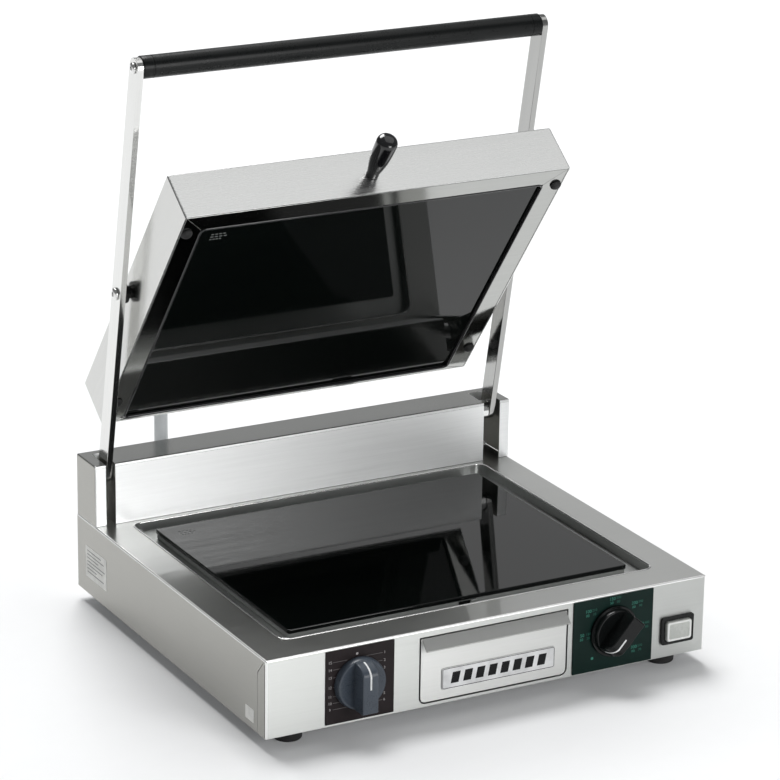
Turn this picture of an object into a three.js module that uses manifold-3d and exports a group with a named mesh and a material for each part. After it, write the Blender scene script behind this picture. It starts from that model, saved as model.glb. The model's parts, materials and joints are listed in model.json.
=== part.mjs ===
// Contact grill (panini press) with two glass-ceramic plates, a balanced lid and a crumb drawer.
// Millimetres, +Z up, +X to the operator's right, the front panel faces -Y.
// The lid is modelled open: the arms lean forward on the hinge shaft and the lid hangs on its pivots.
import * as THREE from 'three';
import { RoundedBoxGeometry } from 'three/addons/geometries/RoundedBoxGeometry.js';
import { mergeVertices } from 'three/addons/utils/BufferGeometryUtils.js';
import Module from 'manifold-3d';

const wasm = await Module();
wasm.setup();

// ---------- driving dimensions ----------
const GAP = 0.3; // clearance between pieces that touch
const SHEET = 1.2; // stainless sheet thickness
const BEND = 1.6; // outer bend radius of the sheet

// base box
const BASE_W = 430;
const BASE_D = 384;
const BASE_H = 70;
const FOOT_H = 12;
const FOOT_R = 13.5;
const FOOT_INSET_X = 31;
const FOOT_INSET_Y = 22;
const BASE_Z = FOOT_H; // lower edge of the base box
const TOP_Z = BASE_Z + BASE_H; // polished top surface

// grease channel pressed into the top, with the lower glass standing in it
const RECESS_HALF_W = 183;
const RECESS_FRONT = 34.5;
const RECESS_REAR = 336.5;
const RECESS_DEPTH = 9.6;
const RECESS_R = 9;
const GLASS_T = 4;
const LOWER_GLASS_HALF_W = 167.2;
const LOWER_GLASS_FRONT = 54.2;
const LOWER_GLASS_REAR = 318.6;
const WINDOW_LEDGE = 10; // the glass rests on this much of the recess floor
const LOWER_SEAL_T = 3.8; // silicone bead that lifts the lower glass almost flush with the top
const UPPER_SEAL_T = 0.5;

// hinge housing across the back of the base
const HOUSING_D = 41;
const HOUSING_H = 58;
const HOUSING_FRONT = BASE_D - HOUSING_D;
const HOUSING_TOP = TOP_Z + HOUSING_H;
const SLOT_LEFT = [-204.2, -194.8];
const SLOT_RIGHT = [187, 204.5];
const SLOT_REAR = 375;

// hinge, arms and handle
const HINGE_Y = 357.3;
const HINGE_Z = 128;
const SHAFT_R = 6;
const ARM_LEAN = THREE.MathUtils.degToRad(11.35); // forward lean of the open arms
const ARM_OUTER = 201.8; // outer face of each arm
const ARM_T = 5.6;
const ARM_DEPTH = 18;
const ARM_TO_PIVOT = 181.6; // hinge axis to lid pivot
const ARM_TO_HANDLE = 397.4; // hinge axis to handle axis
const HANDLE_R = 10;

// lid, in its own frame: origin on the pivot axis, y towards the back, z away from the glass
const LID_PITCH = THREE.MathUtils.degToRad(52.9);
const LID_W = 378.4;
const LID_D = 301.6;
const LID_H = 46.8;
const LID_FRONT = -148.7;
const LID_BOTTOM = -34.8;
const LID_REAR = LID_FRONT + LID_D;
const LID_TOP = LID_BOTTOM + LID_H;
const FRAME_OPENING_HALF_W = 168.5;
const FRAME_OPENING_FRONT = LID_FRONT + 21;
const FRAME_OPENING_REAR = LID_REAR - 4.5;
const BUMPER_X = 182.2;
const BUMPER_FRONT = LID_FRONT + 22.9;
const BUMPER_REAR = LID_FRONT + 268.6;
const BUMPER_H = 3.4;
const PIVOT_R = 4;
const LID_KNOB_X = -3;
const LID_KNOB_Z = LID_BOTTOM + 20;

// front panel fittings; z is measured up from the lower edge of the panel
const DRAWER = { x0: -69.6, x1: 73.2, z0: 4, z1: 62.3, r: 5 };
const DRAWER_GAP = 1.4;
const DRAWER_LENGTH = 240;
const TIMER_PLATE = { x0: -160, x1: -95.6, z0: 2, z1: 68 };
const THERMOSTAT_PLATE = { x0: 79.6, x1: 160.2, z0: 1, z1: 68 };
const PLATE_T = 0.8;
const TIMER_CENTRE = { x: -129.5, z: 36.2 };
const THERMOSTAT_CENTRE = { x: 119.8, z: 35.8 };
const THERMOSTAT_OFF = 222; // pointer position when off, in degrees clockwise from straight up
const SWITCH = { x: 185.9, z: 25, w: 33, h: 25.5 };
const BADGE = { x0: -49.5, x1: 61.5, z0: 12.6, z1: 32 };

// flexible conduit that carries the lid's wiring
const CONDUIT_R = 6.4;
const CONDUIT_X = -109;
const CONDUIT_Y = 430; // plane in which the conduit hangs behind the housing

// ---------- materials ----------
const material = (colour, roughness, metalness) =>
  new THREE.MeshStandardMaterial({ color: colour, roughness, metalness });
const brushedSteel = () => material(0xc8c9c6, 0.34, 1);
const polishedSteel = () => material(0xd8d9d8, 0.14, 1);
const zincSteel = () => material(0x9a9da0, 0.5, 0.9);
const blackGlass = () => material(0x0a0d0c, 0.06, 0);
const blackPlastic = () => material(0x121314, 0.35, 0);
const blackRubber = () => material(0x151515, 0.8, 0);
const fibreBoard = () => material(0xe4e0d4, 0.95, 0);

// ---------- geometry helpers ----------
function toSolid(geometry) {
  const bare = geometry.clone();
  bare.deleteAttribute('normal');
  bare.deleteAttribute('uv');
  const merged = mergeVertices(bare, 1e-4);
  return new wasm.Manifold(
    new wasm.Mesh({
      numProp: 3,
      vertProperties: new Float32Array(merged.attributes.position.array),
      triVerts: new Uint32Array(merged.index.array),
    })
  );
}

function toGeometry(solid) {
  const mesh = solid.getMesh();
  const geometry = new THREE.BufferGeometry();
  geometry.setAttribute('position', new THREE.BufferAttribute(new Float32Array(mesh.vertProperties), 3));
  geometry.setIndex(new THREE.BufferAttribute(new Uint32Array(mesh.triVerts), 1));
  geometry.computeVertexNormals();
  return geometry;
}

const join = (...parts) => parts.map(toSolidIfNeeded).reduce((a, b) => a.add(b));
const cut = (body, ...tools) => tools.map(toSolidIfNeeded).reduce((a, b) => a.subtract(b), toSolidIfNeeded(body));
const common = (a, b) => toSolidIfNeeded(a).intersect(toSolidIfNeeded(b));

function toSolidIfNeeded(part) {
  return part.isBufferGeometry ? toSolid(part) : part;
}

// Box between two corners.
function block(x0, x1, y0, y1, z0, z1) {
  const box = new THREE.BoxGeometry(x1 - x0, y1 - y0, z1 - z0);
  return box.translate((x0 + x1) / 2, (y0 + y1) / 2, (z0 + z1) / 2);
}

// Box with every edge rounded, between two corners.
function softBlock(x0, x1, y0, y1, z0, z1, radius) {
  const box = new RoundedBoxGeometry(x1 - x0, y1 - y0, z1 - z0, 2, radius);
  return box.translate((x0 + x1) / 2, (y0 + y1) / 2, (z0 + z1) / 2);
}

function roundedOutline(x0, x1, y0, y1, radiusLow, radiusHigh = radiusLow) {
  const shape = new THREE.Shape();
  shape.moveTo(x0 + radiusLow, y0);
  shape.lineTo(x1 - radiusLow, y0);
  shape.absarc(x1 - radiusLow, y0 + radiusLow, radiusLow, -Math.PI / 2, 0);
  shape.lineTo(x1, y1 - radiusHigh);
  shape.absarc(x1 - radiusHigh, y1 - radiusHigh, radiusHigh, 0, Math.PI / 2);
  shape.lineTo(x0 + radiusHigh, y1);
  shape.absarc(x0 + radiusHigh, y1 - radiusHigh, radiusHigh, Math.PI / 2, Math.PI);
  shape.lineTo(x0, y0 + radiusLow);
  shape.absarc(x0 + radiusLow, y0 + radiusLow, radiusLow, Math.PI, 1.5 * Math.PI);
  return shape;
}

const extrude = (shape, depth, curveSegments = 4) =>
  new THREE.ExtrudeGeometry(shape, { depth, bevelEnabled: false, curveSegments });

// Rounded rectangle in plan, standing from z0 to z1.
function plateInPlan(x0, x1, y0, y1, z0, z1, radius) {
  return extrude(roundedOutline(x0, x1, y0, y1, radius), z1 - z0).translate(0, 0, z0);
}

// Rounded rectangle seen from the front, running from y0 back to y1.
function plateInFront(x0, x1, z0, z1, y0, y1, radiusLow, radiusHigh = radiusLow) {
  const plate = extrude(roundedOutline(x0, x1, z0, z1, radiusLow, radiusHigh), y1 - y0);
  return plate.rotateX(Math.PI / 2).translate(0, y1, 0);
}

// Side outline (y, z) extruded along X from x0 to x1.
function profileAlongX(points, x0, x1) {
  const shape = new THREE.Shape(points.map(([y, z]) => new THREE.Vector2(y, z)));
  const strip = extrude(shape, x1 - x0);
  strip.rotateX(Math.PI / 2).rotateZ(Math.PI / 2);
  return strip.translate(x0, 0, 0);
}

// Turned piece: profile points are [radius, height]; the axis runs along +Z before placing.
function turned(points, segments = 20) {
  const profile = points.map(([radius, height]) => new THREE.Vector2(radius, height));
  const lathe = new THREE.LatheGeometry(profile, segments);
  return lathe.rotateX(Math.PI / 2);
}

const closeProfile = (points) => [...points, points[0]];
const alongX = (geometry) => geometry.rotateY(Math.PI / 2);
const alongMinusY = (geometry) => geometry.rotateX(Math.PI / 2);
const alongPlusY = (geometry) => geometry.rotateX(-Math.PI / 2);

// Solid round bar along +Z.
const bar = (radius, z0, z1, segments = 20) =>
  turned([[0, z0], [radius, z0], [radius, z1], [0, z1]], segments);

// Hollow round bar along +Z.
const ring = (inner, outer, z0, z1, segments = 20) =>
  turned(closeProfile([[inner, z0], [outer, z0], [outer, z1], [inner, z1]]), segments);

const barAlongX = (radius, x0, x1, y, z, segments = 20) =>
  alongX(bar(radius, x0, x1, segments)).translate(0, y, z);

const barAlongY = (radius, y0, y1, x, z, segments = 20) =>
  alongPlusY(bar(radius, y0, y1, segments)).translate(x, 0, z);

// Round tube or wire swept along a curve.
function sweep(curve, radius, sides, steps) {
  const section = new THREE.Shape();
  for (let i = 0; i < sides; i += 1) {
    const angle = (2 * Math.PI * i) / sides;
    const point = [radius * Math.cos(angle), radius * Math.sin(angle)];
    if (i === 0) section.moveTo(...point);
    else section.lineTo(...point);
  }
  section.closePath();
  return new THREE.ExtrudeGeometry(section, { extrudePath: curve, steps, curveSegments: 1, bevelEnabled: false });
}

const press = new THREE.Group();

function piece(name, shape, finish, parent) {
  const geometry = shape.isBufferGeometry ? shape : toGeometry(shape);
  const mesh = new THREE.Mesh(geometry, finish);
  mesh.name = name;
  parent.add(mesh);
  return mesh;
}

// ---------- base ----------
const base = new THREE.Group();
press.add(base);

const panelZ = (z) => BASE_Z + z;
const RECESS_FLOOR = TOP_Z - RECESS_DEPTH;
const SHELL_HALF = BASE_W / 2;
const INSIDE_HALF = SHELL_HALF - SHEET;

// Relief cut of the front panel's side tab: up the side, then forward at 45 degrees.
function tabRelief(x0, x1) {
  const width = 0.6;
  const tabEnd = 15.3;
  const chamferLow = panelZ(54.3);
  const chamferHigh = panelZ(66.5);
  return profileAlongX(
    [
      [tabEnd, BASE_Z - 1],
      [tabEnd + width, BASE_Z - 1],
      [tabEnd + width, chamferLow + 0.3],
      [5, chamferHigh + 0.9],
      [5, chamferHigh],
      [tabEnd, chamferLow],
    ],
    x0,
    x1
  );
}

// Top, front and sides folded from one sheet, with the grease channel pressed into the top.
function baseShell() {
  const below = 20;
  const outside = softBlock(-SHELL_HALF, SHELL_HALF, 0, BASE_D + below, BASE_Z - below, TOP_Z, BEND);
  const inside = softBlock(
    -INSIDE_HALF, INSIDE_HALF, SHEET, BASE_D + below - SHEET, BASE_Z - below + SHEET, TOP_Z - SHEET, BEND - SHEET
  );
  const folded = common(cut(outside, inside), block(-SHELL_HALF, SHELL_HALF, 0, BASE_D, BASE_Z, TOP_Z));
  const pan = plateInPlan(
    -RECESS_HALF_W - SHEET, RECESS_HALF_W + SHEET, RECESS_FRONT - SHEET, RECESS_REAR + SHEET,
    RECESS_FLOOR - SHEET, TOP_Z - SHEET / 2, RECESS_R + SHEET
  );
  const hollow = plateInPlan(
    -RECESS_HALF_W, RECESS_HALF_W, RECESS_FRONT, RECESS_REAR, RECESS_FLOOR, TOP_Z + 1, RECESS_R
  );
  const glassWindow = plateInPlan(
    -LOWER_GLASS_HALF_W + WINDOW_LEDGE, LOWER_GLASS_HALF_W - WINDOW_LEDGE,
    LOWER_GLASS_FRONT + WINDOW_LEDGE, LOWER_GLASS_REAR - WINDOW_LEDGE,
    RECESS_FLOOR - 5, TOP_Z, 5
  );
  const drain = plateInPlan(-7, 7, RECESS_FRONT + 4, RECESS_FRONT + 10, RECESS_FLOOR - 5, TOP_Z, 2.5);
  const drawerOpening = plateInFront(
    DRAWER.x0 - DRAWER_GAP, DRAWER.x1 + DRAWER_GAP, panelZ(DRAWER.z0 - DRAWER_GAP), panelZ(DRAWER.z1 + DRAWER_GAP),
    -1, SHEET + 1, DRAWER.r + DRAWER_GAP, 1
  );
  const switchOpening = plateInFront(
    SWITCH.x - SWITCH.w / 2 + 2, SWITCH.x + SWITCH.w / 2 - 2,
    panelZ(SWITCH.z - SWITCH.h / 2 + 2), panelZ(SWITCH.z + SWITCH.h / 2 - 2), -1, SHEET + 1, 1
  );
  const timerHole = barAlongY(5, -1, SHEET + 1, TIMER_CENTRE.x, panelZ(TIMER_CENTRE.z));
  const thermostatHole = barAlongY(5, -1, SHEET + 1, THERMOSTAT_CENTRE.x, panelZ(THERMOSTAT_CENTRE.z));
  const wiringHole = bar(9, TOP_Z - 5, TOP_Z + 1).translate(0, HINGE_Y + 8, 0);
  return cut(
    join(folded, pan), hollow, glassWindow, drain, drawerOpening, switchOpening, timerHole, thermostatHole,
    wiringHole, tabRelief(-SHELL_HALF - 1, -INSIDE_HALF + 1), tabRelief(INSIDE_HALF - 1, SHELL_HALF + 1)
  );
}
piece('base_shell', baseShell(), brushedSteel(), base);

// Floor of the base, with cooling slots, and a low fold along each side.
function bottomPlate() {
  const x = INSIDE_HALF - GAP;
  const y0 = SHEET + GAP;
  const y1 = BASE_D - SHEET - GAP;
  const z0 = BASE_Z + GAP;
  const floor = block(-x, x, y0, y1, z0, z0 + SHEET);
  const folds = [-x, x - SHEET].map((edge) => block(edge, edge + SHEET, y0 + 20, y1 - 5, z0, z0 + 10));
  const slots = [];
  for (const side of [-1, 1]) {
    for (let row = 0; row < 6; row += 1) {
      const y = 120 + row * 24;
      slots.push(block(side * 140 - 28, side * 140 + 28, y, y + 6, z0 - 1, z0 + SHEET + 1));
    }
  }
  return cut(join(floor, ...folds), ...slots);
}
piece('bottom_plate', bottomPlate(), zincSteel(), base);

// Back of the base box, with holes for the mains gland and the lid's conduit.
const MAINS_GLAND = { x: 120, z: panelZ(30) };
const CONDUIT_GLAND_Z = panelZ(30);
function rearPanel() {
  const x = INSIDE_HALF - GAP;
  const sheet = block(-x, x, BASE_D - SHEET, BASE_D, BASE_Z + SHEET + 2 * GAP, TOP_Z - SHEET - GAP);
  const holes = [[MAINS_GLAND.x, MAINS_GLAND.z], [CONDUIT_X, CONDUIT_GLAND_Z]].map(([px, pz]) =>
    barAlongY(8.3, BASE_D - 5, BASE_D + 1, px, pz)
  );
  return cut(sheet, ...holes);
}
piece('rear_panel', rearPanel(), brushedSteel(), base);

function rubberFoot() {
  return turned([[0, 0], [FOOT_R - 2.5, 0], [FOOT_R, 2.5], [FOOT_R - 1, FOOT_H - 0.1], [0, FOOT_H - 0.1]], 24);
}
for (const [name, x, y] of [
  ['foot_front_left', -1, FOOT_INSET_Y],
  ['foot_front_right', 1, FOOT_INSET_Y],
  ['foot_rear_left', -1, BASE_D - FOOT_INSET_Y],
  ['foot_rear_right', 1, BASE_D - FOOT_INSET_Y],
]) {
  piece(name, rubberFoot(), blackRubber(), base).position.set(x * (SHELL_HALF - FOOT_INSET_X), y, 0);
}

// ---------- lower plate and its heater ----------
const SEAL_Z = RECESS_FLOOR + GAP;
const LOWER_GLASS_Z = SEAL_Z + LOWER_SEAL_T + GAP;

function lowerSeal() {
  const halfWidth = LOWER_GLASS_HALF_W - 0.6;
  const y0 = LOWER_GLASS_FRONT + 0.6;
  const y1 = LOWER_GLASS_REAR - 0.6;
  const width = 8;
  const outer = plateInPlan(-halfWidth, halfWidth, y0, y1, SEAL_Z, SEAL_Z + LOWER_SEAL_T, 3);
  const inner = plateInPlan(
    -halfWidth + width, halfWidth - width, y0 + width, y1 - width, SEAL_Z - 1, SEAL_Z + LOWER_SEAL_T + 1, 2
  );
  return cut(outer, inner);
}
piece('lower_glass_seal', lowerSeal(), blackRubber(), base);
piece(
  'lower_glass',
  plateInPlan(
    -LOWER_GLASS_HALF_W, LOWER_GLASS_HALF_W, LOWER_GLASS_FRONT, LOWER_GLASS_REAR,
    LOWER_GLASS_Z, LOWER_GLASS_Z + GLASS_T, 2.5
  ),
  blackGlass(),
  base
);

const HEATER = { halfWidth: 152, wall: 4, floor: 6, depth: 19 };

// Insulating dish that holds a heating element; open towards the glass.
function heaterDish(y0, y1, z0) {
  const outer = plateInPlan(-HEATER.halfWidth, HEATER.halfWidth, y0, y1, z0, z0 + HEATER.depth, 8);
  const inner = plateInPlan(
    -HEATER.halfWidth + HEATER.wall, HEATER.halfWidth - HEATER.wall, y0 + HEATER.wall, y1 - HEATER.wall,
    z0 + HEATER.floor, z0 + HEATER.depth + 1, 5
  );
  const leadHoles = [-20, 20].map((x) => barAlongY(5, y1 - HEATER.wall - 2, y1 + 2, x, z0 + HEATER.floor + 6, 12));
  return cut(outer, inner, ...leadHoles);
}

// Serpentine heating rod with both ends leaving through the back of the dish.
function heatingElement(y0, y1, z) {
  const near = y0 + 16;
  const far = y1 - 22;
  const passes = 6;
  const pitch = 46;
  const path = new THREE.CurvePath();
  const at = (x, y) => new THREE.Vector3(x, y, z);
  const firstX = -((passes - 1) * pitch) / 2;
  path.add(new THREE.LineCurve3(at(firstX, far - 20), at(firstX, near + pitch / 2)));
  for (let i = 0; i < passes - 1; i += 1) {
    const x0 = firstX + i * pitch;
    const x1 = x0 + pitch;
    const turnY = i % 2 === 0 ? near + pitch / 2 : far - pitch / 2;
    const sign = i % 2 === 0 ? -1 : 1;
    const bend = new THREE.CatmullRomCurve3(
      [0, 0.25, 0.5, 0.75, 1].map((t) => {
        const angle = Math.PI * t;
        return at(x0 + (pitch / 2) * (1 - Math.cos(angle)), turnY + sign * (pitch / 2) * Math.sin(angle));
      })
    );
    path.add(bend);
    const nextY = i % 2 === 0 ? far - pitch / 2 : near + pitch / 2;
    const endY = i === passes - 2 ? far - 20 : nextY;
    path.add(new THREE.LineCurve3(at(x1, turnY), at(x1, endY)));
  }
  return sweep(path, 3.2, 6, 72);
}
const LOWER_DISH_TOP = RECESS_FLOOR - SHEET - GAP;
const LOWER_DISH_Y = [LOWER_GLASS_FRONT + 12, LOWER_GLASS_REAR - 12];
const LOWER_DISH_Z = LOWER_DISH_TOP - HEATER.depth;
piece('lower_heater_dish', heaterDish(...LOWER_DISH_Y, LOWER_DISH_Z), fibreBoard(), base);
piece(
  'lower_heating_element',
  heatingElement(...LOWER_DISH_Y, LOWER_DISH_Z + HEATER.floor + 6),
  zincSteel(),
  base
);

// ---------- hinge housing ----------
// Folded cover with a slot at each end for the arms, open underneath.
function housingCover() {
  const low = TOP_Z + GAP;
  const below = 20;
  const outside = common(
    softBlock(-SHELL_HALF, SHELL_HALF, HOUSING_FRONT, BASE_D, low - below, HOUSING_TOP, BEND),
    block(-SHELL_HALF, SHELL_HALF, HOUSING_FRONT, BASE_D, low, HOUSING_TOP)
  );
  const ceiling = HOUSING_TOP - SHEET;
  const front = HOUSING_FRONT + SHEET;
  const rear = BASE_D - SHEET;
  const room = (x0, x1, y0 = front) => block(x0, x1, y0, rear, low - 1, ceiling);
  const slots = [SLOT_LEFT, SLOT_RIGHT].map(([x0, x1]) =>
    block(x0, x1, HOUSING_FRONT - 1, SLOT_REAR, low - 1, HOUSING_TOP + 1)
  );
  const rooms = [
    room(-INSIDE_HALF, SLOT_LEFT[0] - SHEET),
    room(SLOT_LEFT[1] + SHEET, SLOT_RIGHT[0] - SHEET),
    room(SLOT_RIGHT[1] + SHEET, INSIDE_HALF),
    room(-INSIDE_HALF, INSIDE_HALF, SLOT_REAR + SHEET),
  ];
  const shaftHole = barAlongX(SHAFT_R + 0.5, -SHELL_HALF + 5, SHELL_HALF - 5, HINGE_Y, HINGE_Z);
  const seam = block(-SHELL_HALF - 1, SHELL_HALF + 1, HOUSING_FRONT - 1, HOUSING_FRONT + 0.5,
    HOUSING_TOP - 2.8, HOUSING_TOP - 1.8);
  const wallGap = block(SLOT_RIGHT[1] - 0.1, SLOT_RIGHT[1] + SHEET + 0.1, front, SLOT_REAR, low - 1, TOP_Z + 8);
  return cut(outside, ...rooms, ...slots, shaftHole, seam, wallGap);
}
piece('housing_cover', housingCover(), brushedSteel(), base);

// Plain bearing block that carries the hinge shaft, standing on the base top.
function hingeBearing() {
  const foot = block(-14, 14, -9.5, 9.5, TOP_Z + GAP - HINGE_Z, TOP_Z + 4 - HINGE_Z);
  const post = block(-6, 6, -9.5, 9.5, TOP_Z + 4 - HINGE_Z - 0.1, 0);
  const head = barAlongX(9.5, -6, 6, 0, 0, 28);
  return cut(join(foot, post, head), barAlongX(SHAFT_R + GAP, -10, 10, 0, 0));
}
const BEARING_X = 150;
for (const [name, side] of [['hinge_bearing_left', -1], ['hinge_bearing_right', 1]]) {
  piece(name, hingeBearing(), zincSteel(), base).position.set(side * BEARING_X, HINGE_Y, HINGE_Z);
}

// Torsion spring around the shaft, with one straight leg reaching down towards the base.
function torsionSpring(side) {
  const wire = 1.2;
  const coilR = 8.4;
  const turns = 6;
  const pitch = 3.1;
  const points = [];
  const perTurn = 10;
  points.push(new THREE.Vector3(-side * 1, coilR, -34));
  points.push(new THREE.Vector3(-side * 1, coilR, -17));
  for (let i = 0; i <= turns * perTurn; i += 1) {
    const angle = (2 * Math.PI * i) / perTurn;
    points.push(new THREE.Vector3(-side * (pitch * i) / perTurn, coilR * Math.cos(angle), coilR * Math.sin(angle)));
  }
  return sweep(new THREE.CatmullRomCurve3(points), wire, 5, 66);
}
for (const [name, side] of [['balance_spring_left', -1], ['balance_spring_right', 1]]) {
  piece(name, torsionSpring(side), zincSteel(), base).position.set(side * (BEARING_X - 22), HINGE_Y, HINGE_Z);
}

// ---------- front panel fittings ----------
function dialPlate({ x0, x1, z0, z1 }, centre) {
  const plate = plateInFront(x0, x1, panelZ(z0), panelZ(z1), -PLATE_T - GAP, -GAP, 0.6);
  return cut(plate, barAlongY(4.2, -5, 2, centre.x, panelZ(centre.z)));
}
piece('timer_plate', dialPlate(TIMER_PLATE, TIMER_CENTRE), material(0x221b1c, 0.5, 0), base);
piece('thermostat_plate', dialPlate(THERMOSTAT_PLATE, THERMOSTAT_CENTRE), material(0x071412, 0.4, 0), base);

// Mechanism behind a dial: a box on the inside of the panel with a collar for the shaft.
function dialMechanism(size, depth, centre) {
  const y0 = SHEET + GAP;
  const half = size / 2;
  const z = panelZ(centre.z - 4);
  const body = softBlock(centre.x - half, centre.x + half, y0, y0 + depth, z - half, z + half, 1.5);
  return cut(body, barAlongY(3.3, -5, y0 + depth - 6, centre.x, panelZ(centre.z), 16));
}
piece('timer_mechanism', dialMechanism(42, 30, TIMER_CENTRE), zincSteel(), base);
piece('thermostat_mechanism', dialMechanism(38, 30, THERMOSTAT_CENTRE), zincSteel(), base);

// Bezel and body of the square push switch, hollow for its button.
const BUTTON = { w: 25.4, h: 18.4, proud: 5.4, depth: 12 };
const BUTTON_TRAVEL = 3;
function switchHousing() {
  const { x, w, h } = SWITCH;
  const z = panelZ(SWITCH.z);
  const bezel = plateInFront(x - w / 2, x + w / 2, z - h / 2, z + h / 2, -2.6, -GAP, 2.2);
  const body = plateInFront(
    x - w / 2 + 2.4, x + w / 2 - 2.4, z - h / 2 + 2.4, z + h / 2 - 2.4, -GAP - 0.1, 30, 1
  );
  const well = plateInFront(
    x - BUTTON.w / 2 - 0.4, x + BUTTON.w / 2 + 0.4, z - BUTTON.h / 2 - 0.4, z + BUTTON.h / 2 + 0.4,
    -5, BUTTON.depth + BUTTON_TRAVEL + 1, 2.6
  );
  return cut(join(bezel, body), well);
}
piece('switch_housing', switchHousing(), blackPlastic(), base);

// Angle rails that the crumb drawer slides on.
function drawerRail(side) {
  const floorZ = BASE_Z + SHEET + 2 * GAP;
  const inner = side < 0 ? DRAWER.x0 + 6.6 : DRAWER.x1 - 6.6;
  const web = [inner + side * 1, inner + side * 2.2].sort((a, b) => a - b);
  const flange = [inner + side * 1, inner + side * 9].sort((a, b) => a - b);
  const y0 = 6;
  const y1 = 300;
  return join(
    block(...web, y0, y1, floorZ, floorZ + 20),
    block(...flange, y0, y1, floorZ, floorZ + SHEET)
  );
}
piece('drawer_rail_left', drawerRail(-1), zincSteel(), base);
piece('drawer_rail_right', drawerRail(1), zincSteel(), base);

// Ceramic block where the mains lead and the heaters' leads meet.
function terminalBlock() {
  const z = BASE_Z + SHEET + 2 * GAP;
  const body = block(88, 148, 330, 350, z, z + 18);
  const holes = [0, 1, 2, 3].map((i) => bar(3.2, z + 9, z + 19, 12).translate(96.5 + i * 14.3, 340, 0));
  return cut(body, ...holes);
}
piece('terminal_block', terminalBlock(), material(0xe8e6df, 0.6, 0), base);

// Screwed gland: collar on the outside of the panel, thread through it, open bore.
function gland(bore) {
  return turned(
    closeProfile([
      [bore, -8], [7.9, -8], [7.9, 0.3], [11.5, 0.3], [11.5, 6], [10, 7], [10, 12], [bore + 1.6, 15], [bore, 15],
    ]),
    18
  );
}
const mainsGland = piece('mains_gland', alongPlusY(gland(4)), blackPlastic(), base);
mainsGland.position.set(MAINS_GLAND.x, BASE_D, MAINS_GLAND.z);
const conduitGlandBase = piece('conduit_gland_base', alongPlusY(gland(CONDUIT_R + GAP)), blackPlastic(), base);
conduitGlandBase.position.set(CONDUIT_X, BASE_D, CONDUIT_GLAND_Z);

// ---------- crumb drawer ----------
const drawer = new THREE.Group();
press.add(drawer);

// Face of the drawer with a grip lip folded forward and down along its top edge.
function drawerFront() {
  const { x0, x1, z0, z1, r } = DRAWER;
  const face = plateInFront(x0, x1, panelZ(z0), panelZ(z1), 0, SHEET, r, 0.8);
  const lip = profileAlongX(
    [
      [SHEET, panelZ(z1)],
      [-0.3, panelZ(z1)],
      [-8.6, panelZ(z1 - 8.4)],
      [-8, panelZ(z1 - 9.4)],
      [0.2, panelZ(z1 - 1.6)],
      [SHEET, panelZ(z1 - 1.6)],
    ],
    x0 + 1,
    x1 - 1
  );
  return join(face, lip);
}
piece('drawer_front', drawerFront(), brushedSteel(), drawer);

// Folded tray behind the face, open at the top under the drain.
function drawerTray() {
  const x0 = DRAWER.x0 + 6.6;
  const x1 = DRAWER.x1 - 6.6;
  const y0 = SHEET + GAP;
  const z0 = BASE_Z + 5;
  const z1 = BASE_Z + 33;
  return cut(
    plateInPlan(x0, x1, y0, y0 + DRAWER_LENGTH, z0, z1, 3),
    plateInPlan(x0 + SHEET, x1 - SHEET, y0 + SHEET, y0 + DRAWER_LENGTH - SHEET, z0 + SHEET, z1 + 1, 2)
  );
}
piece('drawer_tray', drawerTray(), zincSteel(), drawer);
piece(
  'drawer_badge',
  plateInFront(BADGE.x0, BADGE.x1, panelZ(BADGE.z0), panelZ(BADGE.z1), -PLATE_T - GAP, -GAP, 2),
  material(0xe9eaea, 0.35, 0.2),
  drawer
);

// ---------- timer and thermostat knobs, switch button ----------
const KNOB_BACK = -PLATE_T - 2 * GAP - 0.2;

// Pointer knob: a round skirt and disc with a thick grip bar across it. One end of the bar is flat,
// the pointer end slopes from the disc up to the front. pointerTurn is clockwise from straight up.
function pointerKnob({ skirtR, skirtT, discR, discT, barW, barProud, barTail, pointerTurn }) {
  const disc = alongMinusY(
    turned([[0, 0], [skirtR, 0], [skirtR - 0.4, skirtT], [discR + 0.6, skirtT], [discR, discT], [0, discT]], 32)
  );
  const slope = [];
  const steps = 4;
  for (let i = 0; i <= steps; i += 1) {
    const angle = (Math.PI / 2) * (i / steps);
    const rise = (barProud - discT + 0.5) * Math.sin(angle);
    slope.push([-discT + 0.5 - rise, discR * 0.5 + discR * 0.45 * Math.cos(angle)]);
  }
  const outline = [...slope, [-barProud, -barTail], [-discT + 0.5, -barTail]];
  const grip = profileAlongX(outline.reverse(), -barW / 2, barW / 2);
  const socket = barAlongY(3.2, -10, 2, 0, 0, 16);
  return cut(join(disc, grip.rotateY(pointerTurn)), socket);
}
function dialShaft(depth) {
  return barAlongY(2.8, -9 - KNOB_BACK, depth - KNOB_BACK, 0, 0, 16);
}
const timerDial = new THREE.Group();
timerDial.position.set(TIMER_CENTRE.x, KNOB_BACK, panelZ(TIMER_CENTRE.z));
press.add(timerDial);
piece(
  'timer_knob',
  pointerKnob({
    skirtR: 23, skirtT: 2, discR: 22.4, discT: 7.2, barW: 14.5, barProud: 22, barTail: 21.6, pointerTurn: 0,
  }),
  material(0x56626b, 0.42, 0),
  timerDial
);
piece('timer_shaft', dialShaft(22), zincSteel(), timerDial);

const thermostatDial = new THREE.Group();
thermostatDial.position.set(THERMOSTAT_CENTRE.x, KNOB_BACK, panelZ(THERMOSTAT_CENTRE.z));
press.add(thermostatDial);
piece(
  'thermostat_knob',
  pointerKnob({
    skirtR: 23.2, skirtT: 2.6, discR: 20.4, discT: 7.2, barW: 14.5, barProud: 22, barTail: 20,
    pointerTurn: THREE.MathUtils.degToRad(THERMOSTAT_OFF),
  }),
  blackPlastic(),
  thermostatDial
);
piece('thermostat_shaft', dialShaft(22), zincSteel(), thermostatDial);

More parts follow.
